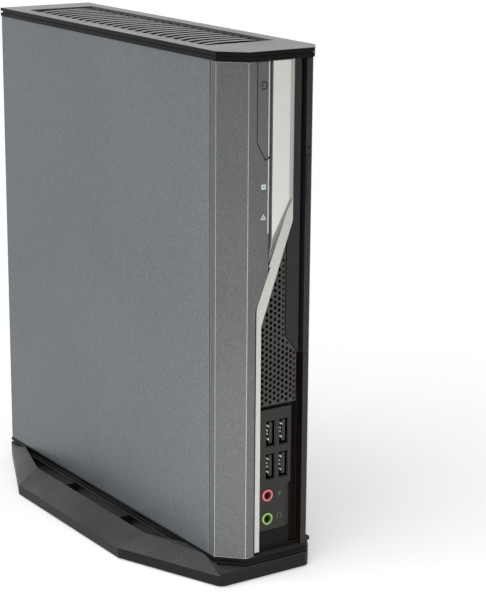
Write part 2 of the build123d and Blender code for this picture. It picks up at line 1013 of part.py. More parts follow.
def front_frame():
    """Black inner moulding that carries the trim, the mesh and the socket panel."""
    y0 = from_front(frame_face)
    y1 = y0 + frame_t
    back = from_front(bezel_depth)
    left = from_left(left_chamfer + bezel_wall)
    right = from_right(panel_right - seam)
    door_cut = grown(door_outline(), seam)
    plate = rectangle(left, right, front_low, front_high) - door_cut
    plate -= grown(mesh_outline(), -mesh_ledge)
    plate -= grown(panel_outline(), -panel_ledge)
    x, z = stem_place()
    plate -= Pos(x, z) * Rectangle(stem_w + 2 * slide_gap, stem_h + 2 * slide_gap)
    frame = across_y(plate, y0, y1)
    frame -= pipe_cut(drive_pipe_outline(), y0, y1)
    frame -= pipe_cut(link_pipe_outline(), y0, y1)
    column_top = door_z - seam
    column = across_z(column_section(right_chamfer + strip_w + groove_w), front_low, column_top)
    floor_y = from_front(groove_drop)
    floor_left = from_right(panel_right)
    floor_right = from_right(right_chamfer + strip_w)
    floor = rectangle(floor_left, floor_right, front_low, column_top) - door_cut
    frame += column
    frame += across_y(floor, floor_y, floor_y + bezel_wall)
    bottom_right = from_right(bezel_wall)
    frame += block(left, bottom_right, y0, back, front_low, front_low + frame_wall)
    frame += block(left, left + frame_wall, y0, back, front_low, front_high)
    door_left = from_right(trim_right)
    frame += block(left, door_left, y0, back, front_high - frame_wall, front_high)
    return frame


def vent_mesh():
    """Thin sheet with staggered six-sided holes."""
    sheet = mesh_outline()
    field = grown(sheet, -(mesh_hole_r + mesh_rim)).faces()[0]
    box = field.bounding_box()
    hole = RegularPolygon(mesh_hole_r, 6)
    columns = math.ceil(box.size.X / mesh_pitch_x) + 1
    rows = math.ceil(box.size.Y / mesh_pitch_z) + 1
    holes = []
    for column in range(columns):
        x = box.min.X + column * mesh_pitch_x
        lift = mesh_pitch_z / 2 if column % 2 else 0
        for row in range(rows):
            z = box.min.Y + lift + row * mesh_pitch_z
            if field.is_inside(Vector(x, z, 0)):
                holes.append(Pos(x, z) * hole)
    y1 = from_front(frame_face)
    return across_y(Sketch() + sheet - holes, y1 - mesh_t, y1)


def io_panel():
    y0 = from_front(panel_drop)
    y1 = from_front(frame_face)
    face = panel_outline()
    for x, z in usb_places():
        gap = 2 * usb_clear
        face -= Pos(x, z) * Rectangle(usb_shell_w + gap, usb_shell_h + gap)
    for z in jack_places():
        face -= Pos(from_left(jack_x), z) * Circle(jack_ring_r + usb_clear)
    panel = across_y(face, y0, y1)
    edge = from_right(panel_right)
    bevel = outline(
        (edge - panel_bevel_w, y0),
        (edge + overrun, y0 + panel_bevel_drop * (1 + overrun / panel_bevel_w)),
        (edge + overrun, y0 - overrun),
        (edge - panel_bevel_w, y0 - overrun),
    )
    low = from_base(panel_low)
    return panel - across_z(bevel, low - overrun, low + panel_bevel_h)


# Front sockets

def usb_front():
    return from_front(panel_drop + usb_sink)


def front_usb_shells():
    """Two stacked pairs, each with its two shells on one moulded back."""
    y0 = usb_front()
    y1 = y0 + usb_depth
    base_y = from_front(frame_face + frame_t + slide_gap)
    tube = Rectangle(usb_shell_w, usb_shell_h)
    tube -= Rectangle(usb_shell_w - 2 * usb_wall, usb_shell_h - 2 * usb_wall)
    pairs = []
    for row in range(2):
        z = from_base(usb_low_z + row * usb_pitch_z)
        x0 = from_left(usb_x) - usb_shell_w / 2
        x1 = from_left(usb_x + usb_pitch_x) + usb_shell_w / 2
        half = usb_shell_h / 2
        pair = block(x0, x1, y1 - jack_end_wall, y1, z - half, z + half)
        pair += block(from_left(socket_board_x), x0, base_y, y1, z - half, z + half)
        for column in range(2):
            x = from_left(usb_x + column * usb_pitch_x)
            pair += across_y(Pos(x, z) * tube, y0, y1)
        pairs.append(pair)
    return pairs


def front_usb_tongues():
    y1 = usb_front() + usb_depth - jack_end_wall
    tongues = []
    for x, z in usb_places():
        sketch = Pos(x + tongue_off, z) * Rectangle(tongue_t, tongue_h)
        tongues.append(across_y(sketch, y1 - tongue_l, y1))
    return tongues


def front_jack(z):
    x = from_left(jack_x)
    y0 = from_front(panel_drop - jack_proud)
    seat = from_front(frame_face + frame_t + slide_gap)
    end = seat + jack_body_l
    left = from_left(socket_board_x)
    half = jack_body_h / 2
    body = block(left, left + jack_body_w, seat, end, z - half, z + half)
    body += rod_y(jack_ring_r, y0, seat, x, z)
    return body - rod_y(jack_hole_r, y0, end - jack_end_wall, x, z)


def front_io_board():
    x1 = from_left(socket_board_x)
    y0 = from_front(frame_face + frame_t)
    z0 = from_base(panel_low)
    z1 = from_base(panel_high) - socket_board_margin
    room = mother_y0 + memory_front - memory_socket_w / 2 - y0
    sketch = rectangle(y0, y0 + room * socket_board_share, z0, z1)
    return across_x(sketch, x1 - board_t, x1)


# Disc drive

def optical_drive_case():
    half = drive_w / 2
    y1 = drive_y0 + drive_l
    case = block(drive_x0, drive_x1, drive_y0, y1, drive_z - half, drive_z + half)
    inner = half - drive_sheet
    case -= block(
        drive_x0 + drive_sheet,
        drive_x1 - drive_sheet,
        drive_y0,
        y1 - drive_sheet,
        drive_z - inner,
        drive_z + inner,
    )
    return case


def rail_bounds():
    inner = drive_w / 2 - drive_sheet
    return inner - rail_h, inner


def tray_rails():
    near, far = rail_bounds()
    middle = (tray_x0 + tray_x1) / 2
    x0 = drive_x0 + drive_sheet
    x1 = middle + rail_t / 2
    y1 = drive_y0 + drive_l - drive_sheet
    upper = block(x0, x1, drive_y0, y1, drive_z + near, drive_z + far)
    lower = block(x0, x1, drive_y0, y1, drive_z - far, drive_z - near)
    return [upper, lower]


def tray_half():
    return rail_bounds()[0] - slide_gap


def sled_window():
    return hub_y + sled_start, hub_y + sled_start + sled_l + sled_travel + 2 * sled_gap


def disc_tray():
    """Drawer with a round well that breaks out at both sides, a spindle bore and a sled window."""
    half = tray_half()
    y1 = drive_y0 + drive_l - drive_sheet - tray_rear
    tray = block(tray_x0, tray_x1, tray_y0, y1, drive_z - half, drive_z + half)
    floor_x = tray_x1 - tray_floor
    tray -= rod_x(disc_r, tray_x0 - overrun, floor_x, hub_y, drive_z)
    tray -= rod_x(hub_shaft_r + shaft_gap, floor_x - overrun, tray_x1 + overrun, hub_y, drive_z)
    w0, w1 = sled_window()
    side = sled_w / 2 + sled_gap
    tray -= block(floor_x - overrun, tray_x1 + overrun, w0, w1, drive_z - side, drive_z + side)
    for z in rod_places():
        tray -= rod_x_free(z, w0, w1)
    return tray


def rod_x_free(z, w0, w1):
    return rod_y(rod_r, w0 - rod_seat, w1 + rod_seat, rod_x_place(), z)


def rod_x_place():
    return tray_x1 - tray_floor / 2


def rod_places():
    side = sled_w / 2 - rod_inset
    return [drive_z - side, drive_z + side]


def sled_rods():
    w0, w1 = sled_window()
    return [rod_x_free(z, w0, w1) for z in rod_places()]


def pickup_sled():
    y0 = hub_y + sled_start + sled_gap
    x1 = tray_x1 - sled_gap
    x0 = x1 - sled_t
    half = sled_w / 2
    sled = block(x0, x1, y0, y0 + sled_l, drive_z - half, drive_z + half)
    sled += rod_x(lens_r, x0 - lens_h, x0, y0 + sled_l / 2, drive_z)
    for z in rod_places():
        sled -= rod_y(rod_r + shaft_gap, y0 - overrun, y0 + sled_l + overrun, rod_x_place(), z)
    return sled


def spindle_hub():
    """Turned hub: shaft, turntable and the nose that the disc snaps on."""
    floor_x = tray_x1 - tray_floor
    plate_x1 = floor_x - hub_lift
    plate_x0 = plate_x1 - hub_plate_t
    hub = rod_x(hub_plate_r, plate_x0, plate_x1, hub_y, drive_z)
    nose = rod_x(hub_r, plate_x0 - hub_nose_t, plate_x0, hub_y, drive_z)
    nose = fillet(nose.edges().filter_by(GeomType.CIRCLE).sort_by(Axis.X)[0], hub_nose_t / 2)
    shaft = rod_x(hub_shaft_r, plate_x1, tray_x1, hub_y, drive_z)
    return hub + nose + shaft


def eject_bounds():
    middle = from_right(right_chamfer + strip_w / 2)
    z1 = from_top(eject_top)
    half = eject_w / 2
    return middle - half, middle + half, z1 - eject_h, z1


def drive_bezel():
    column = across_z(column_section(door_foot_w), door_z, front_high)
    column &= across_y(door_outline(), from_front(-overrun), from_front(bezel_depth))
    x0, x1, z0, z1 = eject_bounds()
    mouth = grown(rectangle(x0, x1, z0, z1), slide_gap)
    column -= across_y(mouth, from_front(-overrun), tray_y0)
    y1 = from_front(groove_drop)
    column -= rod_y(pinhole_r, from_front(-overrun), y1, (x0 + x1) / 2, from_top(pinhole_drop))
    return column


def eject_button():
    x0, x1, z0, z1 = eject_bounds()
    y0 = from_front(strip_drop - eject_proud)
    y1 = tray_y0 - eject_travel - eject_stem
    key = block(x0, x1, y0, y1, z0, z1)
    stem_z = (z0 + z1) / 2
    half = eject_w / 2
    return key + block(x0, x1, y1, tray_y0 - eject_travel, stem_z - half, stem_z + half)


def drive_bracket():
    """Angle sheet under the roof that carries both drives on its right face."""
    x1 = drive_x0
    y0 = from_front(bezel_depth + sheet_t)
    y1 = from_rear(cover_t + sheet_t)
    roof = inner_high - 2 * sheet_t
    low = drive_z - drive_w / 2 - rail_h
    angle = sheet_profile(
        sheet_t, Side.LEFT, (x1, low), (x1, roof), (x1 + bracket_flange, roof)
    )
    bracket = across_y(angle, y0, y1)
    half = drive_w / 2 - bracket_window
    end = drive_y0 + drive_l - bracket_window
    window = rectangle(y0 + bracket_window, end, drive_z - half, drive_z + half)
    window = fillet(window.vertices(), bracket_window / 2)
    bracket -= across_x(window, x1 - sheet_t, x1)
    for y, z in hdd_holes():
        bracket -= rod_x(drive_screw_r, x1 - overrun, x1 + overrun, y, z)
    return bracket


def hdd_bounds():
    y0 = drive_y0 + drive_l + hdd_gap_y
    z0 = drive_z - hdd_l / 2
    return y0, y0 + hdd_w, z0, z0 + hdd_l


def hard_drive():
    y0, y1, z0, z1 = hdd_bounds()
    case = across_x(rectangle(y0, y1, z0, z1), drive_x0, drive_x0 + hdd_t)
    case = fillet(case.edges().filter_by(Axis.X), hdd_corner)
    face = drive_x0 + hdd_t
    rim = rectangle(y0 + hdd_rim, y1 - hdd_rim, z0 + hdd_plug_rim, z1 - hdd_rim)
    rim = fillet(rim.vertices(), hdd_corner)
    case -= across_x(rim, face - hdd_step, face)
    for y, z in hdd_holes():
        case -= rod_x(drive_screw_r, drive_x0 - overrun, drive_x0 + drive_screw_l, y, z)
    return case


def hdd_holes():
    y0, y1, z0, z1 = hdd_bounds()
    for y in (y0 + hdd_rim, y1 - hdd_rim):
        for z in (z0 + hdd_hole_inset, z1 - hdd_hole_inset):
            yield y, z


def drive_screws():
    face = drive_x0 - sheet_t
    screws = []
    for y, z in hdd_holes():
        head = rod_x(drive_screw_head_r, face - drive_screw_head_h, face, y, z)
        shank = rod_x(drive_screw_r - shaft_gap, face, drive_x0 + drive_screw_l, y, z)
        screws.append(head + shank)
    return screws


# Motherboard and its parts

def board_holes():
    for y in (mother_y0 + board_hole_inset, mother_y1 - board_hole_inset):
        for z in (mother_z0 + board_hole_inset, mother_z1 - board_hole_inset):
            yield y, z


def motherboard():
    plate = rectangle(mother_y0, mother_y1, mother_z0, mother_z1)
    plate = fillet(plate.vertices(), board_corner)
    for y, z in board_holes():
        plate -= Pos(y, z) * Circle(board_hole_r)
    return across_x(plate, board_x, board_face)


def board_standoffs():
    return [rod_x(standoff_r, wall_x, board_x, y, z) for y, z in board_holes()]


def board_screws():
    screws = []
    for y, z in board_holes():
        head = rod_x(board_screw_head_r, board_face, board_face + board_screw_head_h, y, z)
        screws.append(head + rod_x(board_hole_r - shaft_gap, board_x, board_face, y, z))
    return screws


def square_on_board(size, y, z, x0, x1):
    half = size / 2
    return block(x0, x1, y - half, y + half, z - half, z + half)


def processor_socket():
    return square_on_board(socket_size, cooler_y, cooler_zc, board_face, board_face + socket_t)


def processor():
    seat = board_face + socket_t
    return square_on_board(processor_size, cooler_y, cooler_zc, seat, seat + processor_t)


def finned(size, y, z, x0, base, height, count):
    """Extruded heatsink with fins that run upright."""
    half = size / 2
    section = rectangle(x0, x0 + base, y - half, y + half)
    pitch = (size - fin_t) / (count - 1)
    for fin in range(count):
        start = y - half + fin * pitch
        section += rectangle(x0, x0 + height, start, start + fin_t)
    return across_z(section, z - half, z + half)


def heatsink():
    return finned(
        heatsink_size, cooler_y, cooler_zc, processor_face, heatsink_base, heatsink_h, fin_count
    )


def chipset_heatsink():
    z = from_base(chip_sink_z)
    y = from_rear(chip_sink_rear)
    return finned(chip_sink_size, y, z, board_face, chip_sink_base, chip_sink_h, chip_fin_count)


def fan_holes():
    reach = fan_size / 2 - fan_hole_inset
    for y in (cooler_y - reach, cooler_y + reach):
        for z in (cooler_zc - reach, cooler_zc + reach):
            yield y, z


def fan_frame():
    """Square frame with a round duct and a bearing boss on four struts next to the heatsink."""
    x1 = fan_x0 + fan_t
    frame = square_on_board(fan_size, cooler_y, cooler_zc, fan_x0, x1)
    frame = fillet(frame.edges().filter_by(Axis.X), fan_corner)
    frame -= rod_x(fan_duct_r, fan_x0, x1, cooler_y, cooler_zc)
    boss_x1 = fan_x0 + fan_boss_t
    boss = rod_x(fan_boss_r, fan_x0, boss_x1, cooler_y, cooler_zc)
    half = fan_strut_w / 2
    reach = (fan_duct_r + fan_size / 2) / 2
    boss += block(fan_x0, boss_x1, cooler_y - reach, cooler_y + reach, cooler_zc - half, cooler_zc + half)
    boss += block(fan_x0, boss_x1, cooler_y - half, cooler_y + half, cooler_zc - reach, cooler_zc + reach)
    frame += boss
    frame -= rod_x(fan_shaft_r + shaft_gap, fan_x0, boss_x1, cooler_y, cooler_zc)
    for y, z in fan_holes():
        frame -= rod_x(fan_hole_r, fan_x0, x1, y, z)
    return frame


def fan_rotor():
    """Hub cup with pitched blades on a short shaft."""
    x0 = fan_x0 + fan_boss_t + fan_rotor_gap
    x1 = fan_x0 + fan_t - fan_rotor_gap
    rotor = rod_x(fan_hub_r, x0, x1, cooler_y, cooler_zc)
    rotor += rod_x(fan_shaft_r, fan_x0, x0, cooler_y, cooler_zc)
    span = fan_blade_r - fan_hub_r / 2
    middle = (fan_blade_r + fan_hub_r / 2) / 2
    flat = Rot(0, 0, fan_blade_pitch) * Box(fan_blade_t, fan_blade_chord, span)
    blade = Pos(0, 0, middle) * flat
    ring = rod_x(fan_blade_r, x0, x1, 0, 0)
    centre = Pos(0, cooler_y, cooler_zc)
    hub_middle = Pos((x0 + x1) / 2, 0, 0)
    for turn in range(fan_blade_count):
        turned = Rot(turn * 360 / fan_blade_count, 0, 0) * hub_middle * blade
        rotor += centre * (turned & ring)
    return rotor


def fan_screws():
    x1 = fan_x0 + fan_t
    screws = []
    for y, z in fan_holes():
        head = rod_x(board_screw_head_r, x1, x1 + board_screw_head_h, y, z)
        screws.append(head + rod_x(fan_hole_r - shaft_gap, fan_x0, x1, y, z))
    return screws


def memory_places():
    return [mother_y0 + memory_front + slot * memory_pitch for slot in range(memory_count)]


def memory_z():
    return mother_z0 + memory_low + memory_socket_l / 2


def memory_sockets():
    sockets = []
    half_l = memory_socket_l / 2
    half_w = memory_socket_w / 2
    x1 = board_face + memory_socket_h
    groove_l = memory_l / 2 + slide_gap
    groove_w = memory_t / 2 + shaft_gap
    z = memory_z()
    for y in memory_places():
        body = block(board_face, x1, y - half_w, y + half_w, z - half_l, z + half_l)
        seat = x1 - memory_seat
        body -= block(seat, x1, y - groove_w, y + groove_w, z - groove_l, z + groove_l)
        sockets.append(body)
    return sockets


def memory_modules():
    modules = []
    seat = board_face + memory_socket_h - memory_seat
    z = memory_z()
    pitch = memory_l / memory_chip_count
    for y in memory_places():
        half = memory_l / 2
        module = block(seat, seat + memory_h, y - memory_t / 2, y + memory_t / 2, z - half, z + half)
        for chip in range(memory_chip_count):
            chip_z = z - half + (chip + 1 / 2) * pitch
            chip_x = seat + memory_h / 2
            module += block(
                chip_x,
                chip_x + memory_chip_w,
                y - memory_t / 2 - memory_chip_t,
                y + memory_t / 2 + memory_chip_t,
                chip_z - memory_chip_h / 2,
                chip_z + memory_chip_h / 2,
            )
        modules.append(module)
    return modules


def cell_place():
    return mother_y0 + cell_front, from_base(cell_z)


def coin_cell_holder():
    y, z = cell_place()
    x1 = board_face + cell_holder_floor + cell_t
    cup = rod_x(cell_r + cell_holder_wall, board_face, x1, y, z)
    return cup - rod_x(cell_r + slide_gap, board_face + cell_holder_floor, x1, y, z)


def coin_cell():
    y, z = cell_place()
    seat = board_face + cell_holder_floor
    return rod_x(cell_r, seat, seat + cell_t, y, z)


def capacitors():
    cans = []
    z = from_base(capacitor_z)
    for place in range(capacitor_count):
        y = mother_y0 + capacitor_front + place * capacitor_pitch
        can = rod_x(capacitor_r, board_face, board_face + capacitor_h, y, z)
        cans.append(chamfer(can.edges().sort_by(Axis.X)[-1], capacitor_top_r))
    return cans


def speaker():
    radius = (drive_x0 - sheet_t - wall_x) / 2 - speaker_gap
    x = wall_x + radius + slide_gap
    y0 = from_front(bezel_depth + sheet_t)
    z = from_top(speaker_drop)
    flange = rod_y(radius, y0, y0 + speaker_flange_t, x, z)
    return flange + rod_y(radius - speaker_rim, y0, y0 + speaker_t, x, z)


# Rear sockets, from the top down along the rear edge of the board

def port_heights():
    return {
        "inlet": inlet_h,
        "vga": vga_h,
        "usb_upper": usb_shell_h,
        "usb_lower": usb_shell_h,
        "lan": lan_h,
        "audio": audio_h * audio_count - (audio_h - audio_pitch) * (audio_count - 1),
    }


def port_centre(name):
    z = from_base(port_z)
    for port, height in port_heights().items():
        middle = z - height / 2
        if port == name:
            return middle
        z -= height + port_gap
    return z


def port_width(name):
    pair = usb_shell_w + rear_usb_pitch
    widths = {"inlet": inlet_w, "vga": vga_w, "lan": lan_w, "audio": audio_h}
    return widths.get(name, pair)


def port_faces():
    for name, height in port_heights().items():
        width = port_width(name)
        yield board_face + width / 2, port_centre(name), width, height


def port_span():
    return from_rear(cover_t + sheet_t) - port_depth, from_rear(cover_t - port_proud)


def port_body(name):
    y0, y1 = port_span()
    half = port_heights()[name] / 2
    z = port_centre(name)
    return block(board_face, board_face + port_width(name), y0, y1, z - half, z + half)


def vga_port():
    """Video socket: a slanted shell round a deck, with two fixing nuts."""
    y0, y1 = port_span()
    z = port_centre("vga")
    x = board_face + vga_w / 2
    half_w = dsub_open_w / 2
    half_h = dsub_open_h / 2
    slant = outline(
        (x - half_w, z - half_h),
        (x - half_w, z + half_h),
        (x + half_w, z + half_h - dsub_slant),
        (x + half_w, z - half_h + dsub_slant),
    )
    deck = grown(slant, -port_wall * 2)
    body = port_body("vga") - across_y(slant - deck, y1 - port_depth / 2, y1)
    reach = (dsub_open_h + vga_h) / 4
    for side in (-reach, reach):
        body += rod_y(hex_nut_r, y1, y1 + hex_nut_l, x, z + side)
    return body


def rear_usb_ports():
    """Two stacked pairs with a tongue in each mouth."""
    y0, y1 = port_span()
    mouth = Rectangle(usb_shell_w - 2 * usb_wall, usb_shell_h - 2 * usb_wall)
    mouth -= Pos(tongue_off, 0) * Rectangle(tongue_t, tongue_h)
    pairs = []
    for name in ("usb_upper", "usb_lower"):
        body = port_body(name)
        for place in range(2):
            x = board_face + usb_shell_w / 2 + place * rear_usb_pitch
            body -= across_y(Pos(x, port_centre(name)) * mouth, y1 - tongue_l, y1)
        pairs.append(body)
    return pairs


def lan_port():
    y0, y1 = port_span()
    z = port_centre("lan")
    x = board_face + lan_w / 2 + lan_lift / 2
    mouth = Pos(x, z) * Rectangle(lan_open_w, lan_open_h)
    latch = Pos(x - lan_open_w / 2, z) * Rectangle(lan_lift * 2, lan_open_h / 2)
    return port_body("lan") - across_y(mouth + latch, y1 - lan_depth, y1)


def rear_audio_jacks():
    y0, y1 = port_span()
    body = port_body("audio")
    x = board_face + audio_h / 2
    for place in range(audio_count):
        z = port_centre("audio") + (place - (audio_count - 1) / 2) * audio_pitch
        body += rod_y(jack_ring_r, y1, y1 + port_proud, x, z)
        body -= rod_y(jack_hole_r, y0 + jack_end_wall, y1 + port_proud, x, z)
    return body


def power_inlet():
    y0, y1 = port_span()
    z = port_centre("inlet")
    x = board_face + inlet_w / 2
    mouth = Circle(inlet_r) - Circle(inlet_pin_r)
    return port_body("inlet") - across_y(Pos(x, z) * mouth, y1 - lan_depth, y1)


nodes = {
    "stand_base": stand_base(),
    "stand_feet": stand_feet(),
    "stand_screws": stand_screws(),
    "bottom_cap": bottom_cap(),
    "top_cap": top_cap(),
    "chassis_frame": chassis_frame(),
    "chassis_front": chassis_front(),
    "chassis_rear": chassis_rear(),
    "left_cover": left_cover(),
    "right_cover": right_cover(),
    "cover_thumbscrew": cover_thumbscrew(),
    "case_screws": case_screws(),
    "front_bezel": front_bezel(),
    "trim_strip": trim_strip(),
    "front_frame": front_frame(),
    "vent_mesh": vent_mesh(),
    "io_panel": io_panel(),
    "power_button": power_button(),
    "power_switch": power_switch(),
    "switch_board": switch_board(),
    "drive_light_pipe": light_pipe(drive_pipe_outline()),
    "link_light_pipe": light_pipe(link_pipe_outline()),
    "indicator_lamps": indicator_lamps(),
    "front_io_board": front_io_board(),
    "front_usb_shells": front_usb_shells(),
    "front_usb_tongues": front_usb_tongues(),
    "headphone_jack": front_jack(jack_places()[0]),
    "microphone_jack": front_jack(jack_places()[1]),
    "optical_drive_case": optical_drive_case(),
    "tray_rails": tray_rails(),
    "disc_tray": disc_tray(),
    "sled_rods": sled_rods(),
    "pickup_sled": pickup_sled(),
    "spindle_hub": spindle_hub(),
    "drive_bezel": drive_bezel(),
    "eject_button": eject_button(),
    "drive_bracket": drive_bracket(),
    "hard_drive": hard_drive(),
    "drive_screws": drive_screws(),
    "motherboard": motherboard(),
    "board_standoffs": board_standoffs(),
    "board_screws": board_screws(),
    "processor_socket": processor_socket(),
    "processor": processor(),
    "heatsink": heatsink(),
    "chipset_heatsink": chipset_heatsink(),
    "fan_frame": fan_frame(),
    "fan_rotor": fan_rotor(),
    "fan_screws": fan_screws(),
    "memory_sockets": memory_sockets(),
    "memory_modules": memory_modules(),
    "coin_cell_holder": coin_cell_holder(),
    "coin_cell": coin_cell(),
    "capacitors": capacitors(),
    "speaker": speaker(),
    "vga_port": vga_port(),
    "rear_usb_ports": rear_usb_ports(),
    "lan_port": lan_port(),
    "rear_audio_jacks": rear_audio_jacks(),
    "power_inlet": power_inlet(),
}

os.makedirs("parts", exist_ok=True)
for name, shape in nodes.items():
    solids = shape if isinstance(shape, list) else [shape]
    export_step(Compound(children=solids), f"parts/{name}.step")
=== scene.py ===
import math

import bmesh
import bpy
from mathutils import Matrix, Vector


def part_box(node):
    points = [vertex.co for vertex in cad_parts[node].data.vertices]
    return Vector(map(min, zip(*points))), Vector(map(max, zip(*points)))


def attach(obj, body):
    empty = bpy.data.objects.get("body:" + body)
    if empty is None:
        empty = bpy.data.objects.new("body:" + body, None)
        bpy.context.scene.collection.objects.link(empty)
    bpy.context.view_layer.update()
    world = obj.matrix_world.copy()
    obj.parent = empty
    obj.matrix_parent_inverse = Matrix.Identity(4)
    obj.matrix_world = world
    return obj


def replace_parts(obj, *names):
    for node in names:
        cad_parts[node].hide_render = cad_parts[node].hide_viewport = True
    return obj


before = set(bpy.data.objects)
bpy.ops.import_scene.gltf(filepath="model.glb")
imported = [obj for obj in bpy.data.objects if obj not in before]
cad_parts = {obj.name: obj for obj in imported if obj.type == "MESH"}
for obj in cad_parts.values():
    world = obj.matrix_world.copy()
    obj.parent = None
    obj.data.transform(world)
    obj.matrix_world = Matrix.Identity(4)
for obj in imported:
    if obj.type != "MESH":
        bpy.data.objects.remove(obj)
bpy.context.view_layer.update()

# Winged stand: one thick moulding of spark-textured charcoal plastic, with a flat deck between two
# sloping wings. Rubber feet are pressed into its underside, and two cross-head screws come up
# through the deck into the case.


def mm(*sizes):
    return Vector(sizes) / 1000


def srgb(tone):
    """A web tone as the linear colour that a shader takes."""
    parts = [((tone >> shift) & 255) / 255 for shift in (16, 8, 0)]
    return (*(p / 12.92 if p <= 0.04045 else ((p + 0.055) / 1.055) ** 2.4 for p in parts), 1.0)


def place(tree, kind, settings, sockets):
    """One shader node; a socket takes a value or another node's output."""
    made = tree.nodes.new(kind)
    for key, value in settings.items():
        setattr(made, key, value)
    for key, value in sockets.items():
        if isinstance(value, bpy.types.NodeSocket):
            tree.links.new(value, made.inputs[key])
        else:
            made.inputs[key].default_value = value
    return made


def sums(tree, operation, first, second):
    return place(tree, "ShaderNodeMath", {"operation": operation}, {0: first, 1: second}).outputs[0]


def spread(tree, value, low, high, to_low=0.0, to_high=1.0):
    sockets = {"Value": value, "From Min": low, "From Max": high, "To Min": to_low, "To Max": to_high}
    return place(tree, "ShaderNodeMapRange", {}, sockets).outputs[0]


def blend_tones(tree, share, first, second):
    sockets = {0: share, 6: first, 7: second}
    return place(tree, "ShaderNodeMix", {"data_type": "RGBA"}, sockets).outputs[2]


def axis_part(tree, vector, axis):
    return place(tree, "ShaderNodeSeparateXYZ", {}, {0: vector}).outputs[axis]


def noise(tree, where, scale, detail, roughness=0.5):
    sockets = {"Vector": where, "Scale": scale, "Detail": detail, "Roughness": roughness}
    return place(tree, "ShaderNodeTexNoise", {}, sockets).outputs[0]


def cell_tone(tree, where, scale):
    """One random grey for each crystal or flake."""
    cells = place(tree, "ShaderNodeTexVoronoi", {}, {"Vector": where, "Scale": scale}).outputs["Color"]
    return place(tree, "ShaderNodeSeparateColor", {}, {0: cells}).outputs[0]


def pattern_group(name, *extra):
    """An empty pattern: it takes a Scale, in cells to the metre, and gives a Tone, a Height and any extra."""
    group = bpy.data.node_groups.new(name, "ShaderNodeTree")
    group.interface.new_socket("Scale", in_out="INPUT", socket_type="NodeSocketFloat")
    for socket in ("Tone", "Height", *extra):
        group.interface.new_socket(socket, in_out="OUTPUT", socket_type="NodeSocketFloat")
    scale = group.nodes.new("NodeGroupInput").outputs["Scale"]
    gives = group.nodes.new("NodeGroupOutput").inputs
    where = group.nodes.new("ShaderNodeTexCoord").outputs["Object"]
    return group, scale, gives, where


def hand_out(group, gives, **outputs):
    for name, value in outputs.items():
        group.links.new(value, gives[name])


def moulded_grain(tree, where, scale):
    """Fine spark grain, and the same grain over faint clouds."""
    grain = noise(tree, where, scale, detail=3.0, roughness=0.65)
    cloud = noise(tree, where, 22.0, detail=2.0)
    return grain, sums(tree, "ADD", grain, cloud)


spark_texture, scale, gives, where = pattern_group("spark texture")
grain, clouded = moulded_grain(spark_texture, where, scale)
hand_out(spark_texture, gives, Tone=spread(spark_texture, clouded, 0.7, 1.3), Height=grain)

# Spark grain whose tone also follows how far a face turns up: upward faces take the light tone as painted
# light, walls and undersides the dark tone as painted shade.
grain_and_lit_tops, scale, gives, where = pattern_group("grain and lit tops")
grain, clouded = moulded_grain(grain_and_lit_tops, where, scale)
turned_to = grain_and_lit_tops.nodes.new("ShaderNodeTexCoord").outputs["Normal"]
lit_from_above = spread(grain_and_lit_tops, axis_part(grain_and_lit_tops, turned_to, "Z"), 0.45, 0.8)
speckle = spread(grain_and_lit_tops, clouded, 0.7, 1.3, 0.35, 1.0)
hand_out(
    grain_and_lit_tops, gives,
    Tone=sums(grain_and_lit_tops, "MULTIPLY", speckle, lit_from_above),
    Height=sums(grain_and_lit_tops, "MULTIPLY", grain, lit_from_above),
)

rolled_sheet, scale, gives, where = pattern_group("rolled sheet")
spangle = sums(rolled_sheet, "MULTIPLY", cell_tone(rolled_sheet, where, scale), 0.5)
drawn = place(rolled_sheet, "ShaderNodeMapping", {"vector_type": "TEXTURE"}, {0: where, 3: (1, 1, 40)})
streak = noise(rolled_sheet, drawn.outputs[0], 1400.0, detail=2.0)
both = sums(rolled_sheet, "ADD", spangle, streak)
hand_out(rolled_sheet, gives, Tone=spread(rolled_sheet, both, 0.35, 1.2), Height=streak)

edge_rounding = bpy.data.node_groups.new("edge rounding", "ShaderNodeTree")
edge_rounding.interface.new_socket("Radius", in_out="INPUT", socket_type="NodeSocketFloat")
edge_rounding.interface.new_socket("Edge", in_out="OUTPUT", socket_type="NodeSocketFloat")
edge_rounding.interface.new_socket("Normal", in_out="OUTPUT", socket_type="NodeSocketVector")
radius = edge_rounding.nodes.new("NodeGroupInput").outputs["Radius"]
gives = edge_rounding.nodes.new("NodeGroupOutput").inputs
rounded = place(edge_rounding, "ShaderNodeBevel", {"samples": 6}, {"Radius": radius}).outputs[0]
facing = edge_rounding.nodes.new("ShaderNodeNewGeometry").outputs["Normal"]
lean = place(edge_rounding, "ShaderNodeVectorMath", {"operation": "DOT_PRODUCT"}, {0: rounded, 1: facing})
on_edge = spread(edge_rounding, lean.outputs["Value"], 0.997, 0.93)
hand_out(edge_rounding, gives, Edge=on_edge, Normal=rounded)


